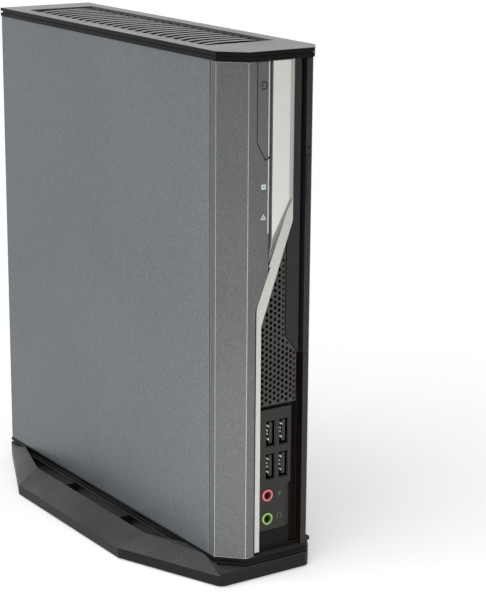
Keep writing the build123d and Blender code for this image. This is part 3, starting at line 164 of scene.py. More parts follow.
def finish(
    name, pattern, scale, dark, light, rough, edge_tone_scuff_and_highlight,
    depth=0.00002, rounding=0.0002, edge_share_scuff_and_highlight=0.4, gloss=None, **shine
):
    """A surface whose colour, roughness and bump follow a pattern, with softened edges in a paler edge tone:
    rubbed wear, and on the bezel and the trim a painted highlight.
    """
    made = bpy.data.materials.new(name)
    made.use_nodes = True
    tree = made.node_tree
    shader = tree.nodes["Principled BSDF"]
    skin = place(tree, "ShaderNodeGroup", {"node_tree": pattern}, {"Scale": scale}).outputs
    edges = place(tree, "ShaderNodeGroup", {"node_tree": edge_rounding}, {"Radius": rounding}).outputs
    body = blend_tones(tree, skin["Tone"], srgb(dark), srgb(light))
    # The edge tone is rubbed wear on most finishes, and a painted highlight on the bezel and the trim.
    rub = sums(tree, "MULTIPLY", edges["Edge"], edge_share_scuff_and_highlight)
    if "Wear" in skin:
        rub = sums(tree, "MULTIPLY", rub, skin["Wear"])
    edge_toned_body = blend_tones(tree, rub, body, srgb(edge_tone_scuff_and_highlight))
    relief = {"Height": skin["Height"], "Distance": depth, "Normal": edges["Normal"]}
    tree.links.new(edge_toned_body, shader.inputs["Base Color"])
    tree.links.new(spread(tree, skin["Tone"], 0.0, 1.0, *rough), shader.inputs["Roughness"])
    tree.links.new(place(tree, "ShaderNodeBump", {}, relief).outputs[0], shader.inputs["Normal"])
    if gloss:
        tree.links.new(spread(tree, skin["Tone"], 0.0, 1.0, *gloss), shader.inputs["Specular IOR Level"])
    for socket, value in shine.items():
        shader.inputs[socket.replace("_", " ").title().replace("Ior", "IOR")].default_value = value
    return made


def bare_metal(name, scale, dark, light, rough, edge_tone_scuff_and_highlight, rounding=0.0002, metallic=1.0):
    """Rolled, drawn or plated metal with hardly any relief."""
    return finish(
        name, rolled_sheet, scale, dark, light, rough, edge_tone_scuff_and_highlight, depth=0.00001, rounding=rounding,
        Metallic=metallic
    )


def dress(material, *names):
    for name in names:
        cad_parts[name].material_slots[0].material = material


def piece(name, bm, material, body):
    """A finished mesh becomes an object at the origin that rides on its body."""
    bmesh.ops.recalc_face_normals(bm, faces=bm.faces)
    mesh = bpy.data.meshes.new(name)
    bm.to_mesh(mesh)
    bm.free()
    mesh.shade_smooth()
    mesh.set_sharp_from_angle(angle=math.radians(35))
    mesh.materials.append(material)
    made = bpy.data.objects.new(name, mesh)
    bpy.context.scene.collection.objects.link(made)
    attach(made, body)
    return made


def turn_to(direction):
    """The turn that takes up to a direction."""
    return direction.to_track_quat("Z", "Y").to_matrix().to_4x4()


def verts_in(geom):
    return [part for part in geom if isinstance(part, bmesh.types.BMVert)]


def rod(bm, radius, start, end, segments=24):
    """A plain round bar from one point to another."""
    along = end - start
    bmesh.ops.create_cone(
        bm, cap_ends=True, segments=segments, radius1=radius, radius2=radius, depth=along.length,
        matrix=Matrix.Translation((start + end) / 2) @ turn_to(along.normalized()),
    )


def cross_screw(bm, seat, outward, head_r, head_h, shank_r, shank_l):
    """A pan-head screw: a domed disc with a pressed cross, on a plain shank."""
    dome, sink, taper, root = 0.45, 0.6, 0.8, 0.1  # shares of the head's height, and of the cross's width
    cells = 9
    arm, reach = 1.2 / cells, 5.2 / cells
    old = set(bm.verts)
    disc = bmesh.ops.create_grid(bm, x_segments=cells, y_segments=cells, size=1.0)["verts"]
    faces = list(dict.fromkeys(f for v in disc for f in v.link_faces))
    cross = []
    for f in faces:
        x, y = (abs(c) for c in f.calc_center_median().xy)
        if max(x, y) < reach and min(x, y) < arm:
            cross.append(f)
    for v in disc:
        x, y = v.co.xy
        flat = Vector((x * math.sqrt(1 - y * y / 2), y * math.sqrt(1 - x * x / 2)))
        v.co = (*(flat * head_r), head_h * (1 - dome * flat.length_squared))
    rim = [e for e in dict.fromkeys(e for f in faces for e in f.edges) if e.is_boundary]
    for v in verts_in(bmesh.ops.extrude_edge_only(bm, edges=rim)["geom"]):
        v.co.z = 0
    sunk = verts_in(bmesh.ops.extrude_face_region(bm, geom=cross)["geom"])
    bmesh.ops.translate(bm, vec=(0, 0, -sink * head_h), verts=sunk)
    bmesh.ops.scale(bm, vec=(taper, taper, 1), verts=sunk)
    rod(bm, shank_r, Vector((0, 0, -shank_l)), Vector((0, 0, root * head_h)), segments=16)
    made = [v for v in bm.verts if v not in old]
    bmesh.ops.transform(bm, matrix=Matrix.Translation(seat) @ turn_to(outward), verts=made)


# The stand's upward faces take the light tone, and its walls and the hole beside the deck take the near-black
# tone: painted light on top, painted shade on the sides.
stand_plastic = finish(
    "stand charcoal", grain_and_lit_tops, scale=1000, dark=0x0a0b0b, light=0x4c4e4e, rough=(0.42, 0.38),
    edge_tone_scuff_and_highlight=0x3a3c3c, depth=0.0002, rounding=0.0006, edge_share_scuff_and_highlight=0.3, gloss=(0.22, 0.46)
)
foot_rubber = finish(
    "foot rubber", spark_texture, scale=900, dark=0x161616, light=0x222222, rough=(0.75, 0.9),
    edge_tone_scuff_and_highlight=0x2c2c2c, depth=0.00008, rounding=0.0005
)
screw_steel = bare_metal(
    "screw steel", scale=900, dark=0x8a8c8e, light=0xb4b6b8, rough=(0.22, 0.36), edge_tone_scuff_and_highlight=0xd4d6d8
)
dress(stand_plastic, "stand_base")
dress(foot_rubber, "stand_feet")
down = Vector((0, 0, -1))
low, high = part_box("stand_screws")
head_r, head_h, shank_r = 0.0036, 0.0016, 0.0019
bm = bmesh.new()
for y in (low.y + head_r, high.y - head_r):
    seat = Vector(((low.x + high.x) / 2, y, low.z + head_h))
    cross_screw(bm, seat, down, head_r, head_h, shank_r, high.z - seat.z)
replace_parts(piece("stand_cross_screws", bm, screw_steel, "computer"), "stand_screws")

# Bottom cap: a shallow grey moulding that closes the case and sits in the stand, and the matching
# top cap with its sunk field of slots, whose ribs rise in a low arch from side to side. Both have a lip
# that runs round over a fine shadow groove.

# The caps' upward faces and rib tops take the light tone, and their sides and the slot walls take the
# near-black tone: painted light and painted shade.
cap_plastic = finish(
    "cap grey", grain_and_lit_tops, scale=2600, dark=0x080808, light=0x4a4846, rough=(0.3, 0.24),
    edge_tone_scuff_and_highlight=0x3c3a37, depth=0.00001, rounding=0.0004, edge_share_scuff_and_highlight=0.25, gloss=(0.09, 0.34)
)
dress(cap_plastic, "bottom_cap", "top_cap")
field_middle, field_floor, field_pitch, field_slots = 5.0, 271.65, 7.642, 24
rib_w, rib_reach, rib_rise, rib_flatness, rib_steps = 4.0, 18.6, 1.2, 4, 20
bm = bmesh.new()
for rib in range(1, field_slots):
    y = field_middle + (rib - field_slots / 2) * field_pitch - rib_w / 2
    across = [rib_reach * (2 * step / rib_steps - 1) for step in range(rib_steps + 1)]
    arch = [mm(x, y, field_floor + rib_rise * (1 - (x / rib_reach) ** rib_flatness)) for x in across]
    outline = bm.faces.new([bm.verts.new(point) for point in arch])
    far = verts_in(bmesh.ops.extrude_face_region(bm, geom=[outline])["geom"])
    bmesh.ops.translate(bm, vec=mm(0, rib_w, 0), verts=far)
piece("grille_ribs", bm, cap_plastic, "computer")

# Slot shade: a thin black sheet laid on the roof under the whole field of slots, where the top cap holds it
# down. It is painted shade that keeps the slots dark.


def block(bm, low, high, edge=0.0):
    """A box between two corners, its edges rounded."""
    made = bmesh.ops.create_cube(bm, size=1.0)["verts"]
    bmesh.ops.scale(bm, vec=high - low, verts=made)
    bmesh.ops.translate(bm, vec=(low + high) / 2, verts=made)
    if edge:
        edges = list(dict.fromkeys(e for v in made for e in v.link_edges))
        bmesh.ops.bevel(bm, geom=edges, offset=edge, segments=2, profile=0.5, affect="EDGES", material=-1)
    return made


slot_shade_black = finish(
    "slot shade black", spark_texture, scale=900, dark=0x040404, light=0x0a0a0a, rough=(0.85, 0.95),
    edge_tone_scuff_and_highlight=0x101010, depth=0.0001, Specular_Ior_Level=0.05
)
roof = Vector((0, 0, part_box("chassis_frame")[1].z))
shade_sheet_low, shade_sheet_high = mm(-19.8, -85.5, -0.02), mm(19.8, 95.5, 0.04)
bm = bmesh.new()
block(bm, roof + shade_sheet_low, roof + shade_sheet_high)
piece("slot_shade_sheet", bm, slot_shade_black, "computer")

# Chassis: folded zinc-plated steel sheet, a wall with the roof and floor, a front plate and a rear
# plate punched for the sockets. Two pan-head screws at the back hold the left cover on.

zinc_sheet = bare_metal(
    "zinc sheet", scale=260, dark=0x8f9294, light=0xb0b3b4, rough=(0.3, 0.44), edge_tone_scuff_and_highlight=0xc9cbcc
)
dress(zinc_sheet, "chassis_frame", "chassis_front", "chassis_rear", "drive_bracket")
rear = Vector((0, 1, 0))
low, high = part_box("case_screws")
head_r, head_h, shank_r = 0.0029, 0.0009, 0.00134
bm = bmesh.new()
for z in (low.z + head_r, high.z - head_r):
    seat = Vector((low.x + head_r, high.y - head_h, z))
    cross_screw(bm, seat, rear, head_r, head_h, shank_r, seat.y - low.y)
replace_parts(piece("case_cross_screws", bm, screw_steel, "computer"), "case_screws")

# Mainboard: green glass-fibre laminate with copper tracks under the lacquer, on four turned brass
# stand-offs. Black chips, a power plug and two drive sockets are soldered to its free ground.

tracks, scale, gives, where = pattern_group("copper tracks")
laid_flat = place(tracks, "ShaderNodeMapping", {}, {0: where, 2: (0, math.radians(90), 0)}).outputs[0]
lines = {"Vector": laid_flat, "Scale": scale, "Mortar Size": 0.03, "Brick Width": 0.9, "Row Height": 0.12}
copper = place(tracks, "ShaderNodeTexBrick", {}, lines).outputs["Fac"]
fibre = sums(tracks, "MULTIPLY", noise(tracks, where, 900.0, detail=2.0), 0.4)
both = sums(tracks, "ADD", copper, fibre)
hand_out(tracks, gives, Tone=spread(tracks, both, 0.1, 1.3), Height=copper)
board_lacquer = finish(
    "board lacquer", tracks, scale=90, dark=0x16452c, light=0x2c6a44, rough=(0.25, 0.4),
    edge_tone_scuff_and_highlight=0x6d7a4c, depth=0.00003
)
standoff_brass = bare_metal(
    "standoff brass", scale=700, dark=0xa8853c, light=0xc6a352, rough=(0.24, 0.36), edge_tone_scuff_and_highlight=0xdabd74
)
chip_resin = finish(
    "chip resin", spark_texture, scale=3000, dark=0x1b1b1c, light=0x262627, rough=(0.5, 0.62),
    edge_tone_scuff_and_highlight=0x38383a
)
socket_plastic = finish(
    "socket plastic", spark_texture, scale=2600, dark=0x131314, light=0x1d1d1e, rough=(0.36, 0.5),
    edge_tone_scuff_and_highlight=0x2e2e30
)
dress(board_lacquer, "motherboard", "front_io_board", "switch_board", "memory_modules")
dress(standoff_brass, "board_standoffs")
board_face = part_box("motherboard")[1].x
off_board = Vector((1, 0, 0))
low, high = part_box("board_screws")
head_r, head_h, shank_r, shank_l = 0.0028, 0.0016, 0.0014, 0.0016
bm = bmesh.new()
for y in (low.y + head_r, high.y - head_r):
    for z in (low.z + head_r, high.z - head_r):
        cross_screw(bm, Vector((board_face, y, z)), off_board, head_r, head_h, shank_r, shank_l)
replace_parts(piece("board_cross_screws", bm, screw_steel, "computer"), "board_screws")


def on_board(y, z):
    return Vector((board_face, y / 1000, z / 1000))


chip_t, chip_edge = 1.3, 0.0002
chips = (  # middle y and z, width and height, in mm
    (95, 96, 9, 9), (92, 58, 7, 7), (66, 150, 12, 12),
    (60, 178, 9, 12), (-6, 142, 14, 10), (88, 136, 6, 8),
)
bm = bmesh.new()
for y, z, width, height in chips:
    corner = on_board(y - width / 2, z - height / 2)
    block(bm, corner, corner + mm(chip_t, width, height), chip_edge)
piece("board_chips", bm, chip_resin, "computer")

plug, plug_size, plug_edge = on_board(-54, 58), mm(9, 8.6, 51.6), 0.0003
cell_rows, cell_columns, cell_pitch = 12, 2, 4.2
cell_first, cell_size, cell_edge = mm(9, 1.0, 1.2), mm(1.6, 2.6, 2.6), 0.0002
socket_y, socket_heights, socket_size = -52, (128, 144), mm(8.2, 14.0, 5.2)
bm = bmesh.new()
block(bm, plug, plug + plug_size, plug_edge)
for row in range(cell_rows):
    for column in range(cell_columns):
        cell = plug + cell_first + mm(0, cell_pitch * column, cell_pitch * row)
        block(bm, cell, cell + cell_size, cell_edge)
for z in socket_heights:
    socket = on_board(socket_y, z)
    block(bm, socket, socket + socket_size, plug_edge)
piece("board_plugs", bm, socket_plastic, "computer")

# Processor and cooler: a plated lid in its socket under an extruded aluminium heatsink, with a black
# seven-blade fan screwed to the fins by its corners. A plain foil disc covers the rotor's hub.

fin_aluminium = bare_metal(
    "fin aluminium", scale=500, dark=0xa2a5a8, light=0xc4c7c9, rough=(0.28, 0.42), edge_tone_scuff_and_highlight=0xd9dbdc
)
plated_lid = bare_metal(
    "plated lid", scale=1200, dark=0xa9abad, light=0xc9cbcc, rough=(0.2, 0.3), edge_tone_scuff_and_highlight=0xdfe0e1
)
dress(fin_aluminium, "heatsink", "chipset_heatsink")
dress(plated_lid, "processor")
dress(socket_plastic, "processor_socket", "fan_frame", "fan_rotor")
low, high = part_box("fan_screws")
fan_low, fan_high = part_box("fan_frame")
head_r, head_h, shank_r = 0.0034, 0.0016, 0.0019
bm = bmesh.new()
for y in (low.y + head_r, high.y - head_r):
    for z in (low.z + head_r, high.z - head_r):
        seat = Vector((fan_high.x, y, z))
        cross_screw(bm, seat, off_board, head_r, head_h, shank_r, fan_high.x - low.x)
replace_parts(piece("fan_cross_screws", bm, screw_steel, "computer"), "fan_screws")

foil_r, foil_t = 0.0115, 0.06
rotor_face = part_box("fan_rotor")[1].x
hub = Vector((rotor_face, (fan_low.y + fan_high.y) / 2, (fan_low.z + fan_high.z) / 2))
bm = bmesh.new()
rod(bm, foil_r, hub, hub + mm(foil_t, 0, 0), segments=48)
piece("fan_hub_foil", bm, plated_lid, "fan")

# Small parts on the board: memory cards in their sockets, a coin cell in a ring, a row of electrolytic
# cans with bare metal tops, and a round speaker behind the front plate.

cell_steel = bare_metal(
    "cell steel", scale=800, dark=0xb2b4b6, light=0xcfd1d2, rough=(0.18, 0.3), edge_tone_scuff_and_highlight=0xe4e5e6
)
dress(socket_plastic, "memory_sockets", "coin_cell_holder", "speaker")
dress(cell_steel, "coin_cell")
dress(chip_resin, "capacitors")
low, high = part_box("capacitors")
can_r, can_pitch, can_count = 0.004, 0.0105, 6
bare_r, bare_t = 0.00328, 0.04
bm = bmesh.new()
for can in range(can_count):
    top = Vector((high.x, low.y + can_r + can * can_pitch, (low.z + high.z) / 2))
    rod(bm, bare_r, top, top + mm(bare_t, 0, 0), segments=32)
piece("capacitor_tops", bm, cell_steel, "computer")

# Rear sockets: a round power inlet, a blue video socket, two stacked pairs of bus sockets, the network
# socket with its two lamps, and a block of three colour-coded sound jacks. All are soldered to the
# board's rear edge and look out through the punched plate.

tin_shell = bare_metal(
    "tin shell", scale=700, dark=0x9a9c9e, light=0xbabcbd, rough=(0.24, 0.38), edge_tone_scuff_and_highlight=0xd6d7d8
)
gold_plate = bare_metal(
    "gold plate", scale=900, dark=0xc9a24a, light=0xe2c277, rough=(0.16, 0.26), edge_tone_scuff_and_highlight=0xf0d998,
    rounding=0.0001
)
video_blue = finish(
    "video blue", spark_texture, scale=2400, dark=0x1c3f86, light=0x28509c, rough=(0.34, 0.46),
    edge_tone_scuff_and_highlight=0x4668ae
)
jack_blue = finish(
    "jack blue", spark_texture, scale=2400, dark=0x5f93b8, light=0x76a9cc, rough=(0.3, 0.42),
    edge_tone_scuff_and_highlight=0x9cc4de
)
jack_green = finish(
    "jack green", spark_texture, scale=2400, dark=0x5f8638, light=0x759c4a, rough=(0.3, 0.42),
    edge_tone_scuff_and_highlight=0xa8c484, rounding=0.0003
)
jack_pink = finish(
    "jack pink", spark_texture, scale=2400, dark=0xa84a52, light=0xbe5f66, rough=(0.3, 0.42),
    edge_tone_scuff_and_highlight=0xd89aa0, rounding=0.0003
)
dress(socket_plastic, "power_inlet", "rear_audio_jacks")
dress(tin_shell, "lan_port", "rear_usb_ports")
dress(video_blue, "vga_port")


def ring(bm, centre, axis, inner, outer, length, steps=40):
    """A flat-faced ring: a small rectangle spun once round its axis."""
    side = axis.orthogonal().normalized()
    corners = [
        bm.verts.new(centre + side * reach + axis * lift)
        for reach, lift in ((inner, 0), (outer, 0), (outer, length), (inner, length))
    ]
    edges = [bm.edges.new((corners[i], corners[i - 1])) for i in range(4)]
    bmesh.ops.spin(
        bm, geom=corners + edges, cent=centre, axis=axis, angle=math.tau, steps=steps, use_merge=True
    )
    bmesh.ops.remove_doubles(bm, verts=bm.verts, dist=1e-7)


low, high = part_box("rear_audio_jacks")
jack_pitch, collar_sink = 0.0115, 0.0004
collar_in, collar_out, collar_t = 0.00186, 0.00322, 0.00048
for name, material, slot, lift in (
    ("rear_jack_blue", jack_blue, "audio_block", jack_pitch),
    ("rear_jack_green", jack_green, "jack_green", 0.0),
    ("rear_jack_pink", jack_pink, "jack_pink", -jack_pitch),
):
    collar = Vector(((low.x + high.x) / 2, high.y - collar_sink, (low.z + high.z) / 2 + lift))
    bm = bmesh.new()
    ring(bm, collar, rear, collar_in, collar_out, collar_t)
    piece(name, bm, material, "computer")

low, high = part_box("power_inlet")
pin_r, pin_l, pin_proud = 0.00104, 11.9, 0.02
mouth_in, mouth_out, mouth_t = 0.0032, 0.0042, 0.00012
pin = Vector(((low.x + high.x) / 2, high.y, (low.z + high.z) / 2))
bm = bmesh.new()
rod(bm, pin_r, pin - mm(0, pin_l, 0), pin + mm(0, pin_proud, 0))
ring(bm, pin, rear, mouth_in, mouth_out, mouth_t)
piece("inlet_pin", bm, tin_shell, "computer")

low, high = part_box("vga_port")
flange_t, hole_r, hole_t = 0.001, 0.00046, 0.03
row_pitch, hole_pitch, row_shift = 1.98, 2.29, 0.38
# Dark resin discs at the fifteen pin places are painted shade for the holes.
video = Vector(((low.x + high.x) / 2, high.y - flange_t, (low.z + high.z) / 2))
bm = bmesh.new()
for row in (-1, 0, 1):
    for column in (-2, -1, 0, 1, 2):
        hole = video + mm(row * row_pitch, 0, column * hole_pitch + row * row_shift)
        rod(bm, hole_r, hole, hole + mm(0, hole_t, 0), segments=12)
piece("video_pin_hole_shades", bm, chip_resin, "computer")
nut_reach, nut_r, nut_t = 12.0, 0.0031, 1.05
thread_in, thread_out, thread_t = 0.0013, 0.0022, 0.0002
bm = bmesh.new()
for side in (-nut_reach, nut_reach):
    nut = video + mm(0, 0, side)
    nut_face = nut + mm(0, nut_t, 0)
    rod(bm, nut_r, nut, nut_face, segments=6)
    ring(bm, nut_face, rear, thread_in, thread_out, thread_t, steps=24)
piece("video_hex_nuts", bm, tin_shell, "computer")

low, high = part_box("lan_port")
mouth_shift = 0.001
network = Vector(((low.x + high.x) / 2 + mouth_shift, high.y, (low.z + high.z) / 2))
wire_count, wire_pitch, wire_half = 8, 1.02, 0.22
wire_foot, wire_tip = (3.0, -11.5), (3.3, -2.5)
wire_halfway, wire_slant = 0.006, -2.4
bm = bmesh.new()
for wire in range(wire_count):
    z = (wire - (wire_count - 1) / 2) * wire_pitch
    sprung = block(bm, network + mm(*wire_foot, z - wire_half), network + mm(*wire_tip, z + wire_half))
    deep = [v for v in sprung if v.co.y < network.y - wire_halfway]
    bmesh.ops.translate(bm, vec=mm(wire_slant, 0, 0), verts=deep)
piece("network_contacts", bm, gold_plate, "computer")
lamp_side, lamp_half, lamp_edge = 4.6, 1.5, 0.0002
lamp_low, lamp_high = (4.2, -0.4), (5.3, 0.08)
for name, material, slot, side in (
    ("network_lamp_green", jack_green, "jack_green", lamp_side),
    ("network_lamp_amber", gold_plate, "standoff_brass", -lamp_side),
):
    first, last = mm(*lamp_low, side - lamp_half), mm(*lamp_high, side + lamp_half)
    bm = bmesh.new()
    block(bm, network + first, network + last, lamp_edge)
    piece(name, bm, material, "computer")


def bus_contacts(bm, face_x, front_y, inward, z):
    """Four spring contacts on a bus socket's tongue; the outer pair starts nearer to the mouth."""
    proud, sunk, half_w, end, edge = 0.16, 0.05, 0.5, 7.5, 0.00005
    face = Vector((face_x, front_y, z))
    for offset, start in ((-3.5, 0.2), (-1.0, 1.2), (1.0, 1.2), (3.5, 0.2)):
        first_y, last_y = sorted((inward * start, inward * end))
        first, last = mm(-proud, first_y, offset - half_w), mm(sunk, last_y, offset + half_w)
        block(bm, face + first, face + last, edge)


low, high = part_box("rear_usb_ports")
tongue_faces, tongue_inset = (0.0027, 0.0108), 0.007
bm = bmesh.new()
for x in tongue_faces:
    for z in (high.z - tongue_inset, low.z + tongue_inset):
        bus_contacts(bm, low.x + x, high.y, -1, z)
piece("rear_bus_contacts", bm, gold_plate, "computer")

# Drives: a zinc bracket under the roof carries a cast hard drive and the slim disc drive. The disc
# drawer is a moulded tray with a round well, a turned spindle with a rubber seat and three sprung
# balls, and a pickup with a coated lens that slides on two steel rods.

tray_plastic = finish(
    "tray plastic", spark_texture, scale=2200, dark=0x2a2b2c, light=0x363738, rough=(0.42, 0.56),
    edge_tone_scuff_and_highlight=0x4c4d4e, depth=0.00004, rounding=0.0003
)
drive_case = bare_metal(
    "drive case", scale=420, dark=0x97999b, light=0xb6b8ba, rough=(0.3, 0.42), edge_tone_scuff_and_highlight=0xcfd0d1
)
lens_coat = finish(
    "lens coat", spark_texture, scale=400, dark=0x24204c, light=0x38346e, rough=(0.04, 0.08),
    edge_tone_scuff_and_highlight=0x4a4690, depth=0.0, rounding=0.0001, Coat_Weight=1.0
)
dress(drive_case, "optical_drive_case", "tray_rails")
dress(fin_aluminium, "hard_drive")
dress(tray_plastic, "disc_tray", "pickup_sled")
dress(plated_lid, "spindle_hub")
dress(screw_steel, "sled_rods")
left = Vector((-1, 0, 0))
low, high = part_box("drive_screws")
head_r, head_h, shank_r = 0.0024, 0.0006, 0.00134
bm = bmesh.new()
for y in (low.y + head_r, high.y - head_r):
    for z in (low.z + head_r, high.z - head_r):
        seat = Vector((low.x + head_h, y, z))
        cross_screw(bm, seat, left, head_r, head_h, shank_r, high.x - seat.x)
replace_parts(piece("drive_cross_screws", bm, screw_steel, "computer"), "drive_screws")

low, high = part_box("spindle_hub")
nose_t = 0.0022
hub = Vector((low.x + nose_t, (low.y + high.y) / 2, (low.z + high.z) / 2))
seat_in, seat_out, seat_t = 0.0105, 0.0138, 0.0003
bm = bmesh.new()
ring(bm, hub, left, seat_in, seat_out, seat_t, steps=64)
piece("spindle_rubber", bm, foot_rubber, "spindle")
ball_count, ball_r, ball_first = 3, 0.0009, mm(-0.9, 6.9, 0)
bm = bmesh.new()
for ball in range(ball_count):
    middle = hub + Matrix.Rotation(ball * math.tau / ball_count, 4, "X") @ ball_first
    bmesh.ops.create_uvsphere(
        bm, u_segments=16, v_segments=10, radius=ball_r, matrix=Matrix.Translation(middle)
    )
piece("spindle_balls", bm, screw_steel, "spindle")

low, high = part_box("pickup_sled")
lens = Vector((low.x, (low.y + high.y) / 2, (low.z + high.z) / 2))
lens_r, lens_sink, lens_bulge = 0.0021, 0.1, 0.3
lens_rim_r, lens_rim_t = 0.0026, 0.0002
bm = bmesh.new()
dome = Matrix.Translation(lens + mm(lens_sink, 0, 0)) @ Matrix.Diagonal((lens_bulge, 1, 1, 1))
bmesh.ops.create_uvsphere(bm, u_segments=32, v_segments=20, radius=lens_r, matrix=dome)
piece("pickup_lens", bm, lens_coat, "pickup")
bm = bmesh.new()
ring(bm, lens, left, lens_r, lens_rim_r, lens_rim_t)
piece("pickup_lens_ring", bm, tin_shell, "pickup")

# Front frame: a black satin moulding behind the bezel that carries the mesh and the socket panel. Its
# right-hand column goes on under the drawer front as a warmer grey strip beside a deep groove. Black hexagons
# printed on the mesh, where the frame's ledge lies behind it, are painted shade that stands for more holes.

column_split, scale, gives, where = pattern_group("column split")
strip = spread(column_split, axis_part(column_split, where, "X"), 0.01832, 0.01838)
warm = sums(column_split, "MULTIPLY", strip, 0.84)
grain = noise(column_split, where, scale, detail=3.0, roughness=0.65)
tinge = spread(column_split, grain, 0.3, 0.7, 0.0, 0.16)
hand_out(column_split, gives, Tone=sums(column_split, "ADD", warm, tinge), Height=grain)
frame_black = finish(
    "frame black", column_split, scale=2400, dark=0x060606, light=0x302a26, rough=(0.36, 0.46),
    edge_tone_scuff_and_highlight=0x36322f, rounding=0.0004, Specular_Ior_Level=0.1
)
panel_black = finish(
    "panel black", spark_texture, scale=2400, dark=0x181716, light=0x242220, rough=(0.4, 0.52),
    edge_tone_scuff_and_highlight=0x484644, depth=0.00003, rounding=0.0004, Specular_Ior_Level=0.25
)
mesh_black = finish(
    "mesh black", spark_texture, scale=1800, dark=0x282726, light=0x353433, rough=(0.4, 0.5),
    edge_tone_scuff_and_highlight=0x5e5d5c, Specular_Ior_Level=0.3
)
dress(frame_black, "front_frame")
dress(panel_black, "io_panel")
dress(mesh_black, "vent_mesh")

film_t, film_lift = 0.00004, 0.00002


def printed(name, bm, material, body):
    """Flat faces become a thin film that lies on the face behind them."""
    bmesh.ops.recalc_face_normals(bm, faces=bm.faces)
    bmesh.ops.solidify(bm, geom=list(bm.faces), thickness=film_t)
    piece(name, bm, material, body)


# Dark hexagons printed on the mesh face: painted shade in place of holes.
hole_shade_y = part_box("vent_mesh")[0].y - film_lift
hole_shade_r, hole_shade_pitch = 0.00095, 3.0
hole_shade_columns = ((6.75, 127.75, 14), (9.5, 123.25, 1), (13.9, 93.25, 9))  # x, lowest z, count
stand_up = Matrix.Rotation(math.radians(90), 4, "X")
bm = bmesh.new()
for x, foot, count in hole_shade_columns:
    for row in range(count):
        centre = mm(x, 0, foot + row * hole_shade_pitch)
        centre.y = hole_shade_y
        bmesh.ops.create_circle(
            bm, cap_ends=True, segments=6, radius=hole_shade_r, matrix=Matrix.Translation(centre) @ stand_up
        )
printed("mesh_hole_shades", bm, frame_black, "computer")

# Front sockets: four upright bus sockets with tin shells and black tongues, and two moulded jacks in
# pink and green, soldered to a small board behind the panel. Small grey signs are printed beside them.

shell_dark = bare_metal(
    "shell dark", scale=700, dark=0x2c2c2d, light=0x3e3e3f, rough=(0.24, 0.36), edge_tone_scuff_and_highlight=0x7c7c7d
)
tongue_black = finish(
    "tongue black", spark_texture, scale=2400, dark=0x101011, light=0x191919, rough=(0.36, 0.48),
    edge_tone_scuff_and_highlight=0x39393a
)
contact_tin = bare_metal(
    "contact tin", scale=900, dark=0xd6d4ce, light=0xeceae4, rough=(0.3, 0.42), edge_tone_scuff_and_highlight=0xf4f3f0,
    rounding=0.0001, metallic=0.3
)
# Dark red and dark green tubes inside the front jacks' bores, with a dark ring round each mouth: painted
# shade in the bores.
bore_shade_red = finish(
    "bore shade red", spark_texture, scale=2400, dark=0x3a0f13, light=0x4a161b, rough=(0.5, 0.6),
    edge_tone_scuff_and_highlight=0x5a2026, depth=0.00001, rounding=0.0001
)
bore_shade_green = finish(
    "bore shade green", spark_texture, scale=2400, dark=0x16260a, light=0x20340f, rough=(0.5, 0.6),
    edge_tone_scuff_and_highlight=0x2c4418, depth=0.00001, rounding=0.0001
)
sign_grey = finish(
    "sign grey", spark_texture, scale=3000, dark=0x3a3a3b, light=0x464647, rough=(0.4, 0.5),
    edge_tone_scuff_and_highlight=0x606062, depth=0.00001, rounding=0.0001
)
dress(shell_dark, "front_usb_shells")
dress(tongue_black, "front_usb_tongues")
dress(jack_pink, "microphone_jack")
dress(jack_green, "headphone_jack")
low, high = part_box("front_usb_tongues")
tongue_t, tongue_h = 0.0019, 0.0113
bm = bmesh.new()
for x in (low.x, high.x - tongue_t):
    for z in (low.z + tongue_h / 2, high.z - tongue_h / 2):
        bus_contacts(bm, x, low.y, 1, z)
piece("front_bus_contacts", bm, contact_tin, "computer")

# Each jack gets a dark tube down its bore and a dark ring at its mouth, as painted shade.
bore_shade_radius, bore_shade_wall, bore_shade_length, bore_shade_sink = 0.00174, 0.00005, 0.0155, 0.0002
mouth_shade_in, mouth_shade_out = 0.00181, 0.00228
for node, name, material, slot in (
    ("microphone_jack", "microphone_bore_shade", bore_shade_red, "jack_pink"),
    ("headphone_jack", "headphone_bore_shade", bore_shade_green, "jack_green"),
):
    low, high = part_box(node)
    mouth = Vector(((low.x + high.x) / 2, low.y, (low.z + high.z) / 2))
    bm = bmesh.new()
    ring(bm, mouth + rear * bore_shade_sink, rear, bore_shade_radius, bore_shade_radius + bore_shade_wall, bore_shade_length)
    ring(bm, mouth - rear * bore_shade_wall, rear, mouth_shade_in, mouth_shade_out, bore_shade_wall)
    piece(name, bm, material, "computer")


def strip_arc(bm, centre, inner, outer, start, sweep, steps=24):
    """A flat printed arc that faces the front: a short line spun about the front-to-back axis."""
    aim = Vector((math.cos(start), 0, math.sin(start)))
    ends = [bm.verts.new(centre + aim * reach) for reach in (inner, outer)]
    line = bm.edges.new(ends)
    bmesh.ops.spin(
        bm, geom=[*ends, line], cent=centre, axis=(0, -1, 0), angle=sweep, steps=steps, use_merge=False
    )


def bar(bm, centre, width, height):
    """A flat printed rectangle that faces the front."""
    made = bmesh.ops.create_grid(bm, x_segments=1, y_segments=1, size=0.5)["verts"]
    grow = Matrix.Diagonal((width, height, 1, 1))
    bmesh.ops.transform(bm, matrix=Matrix.Translation(centre) @ stand_up @ grow, verts=made)


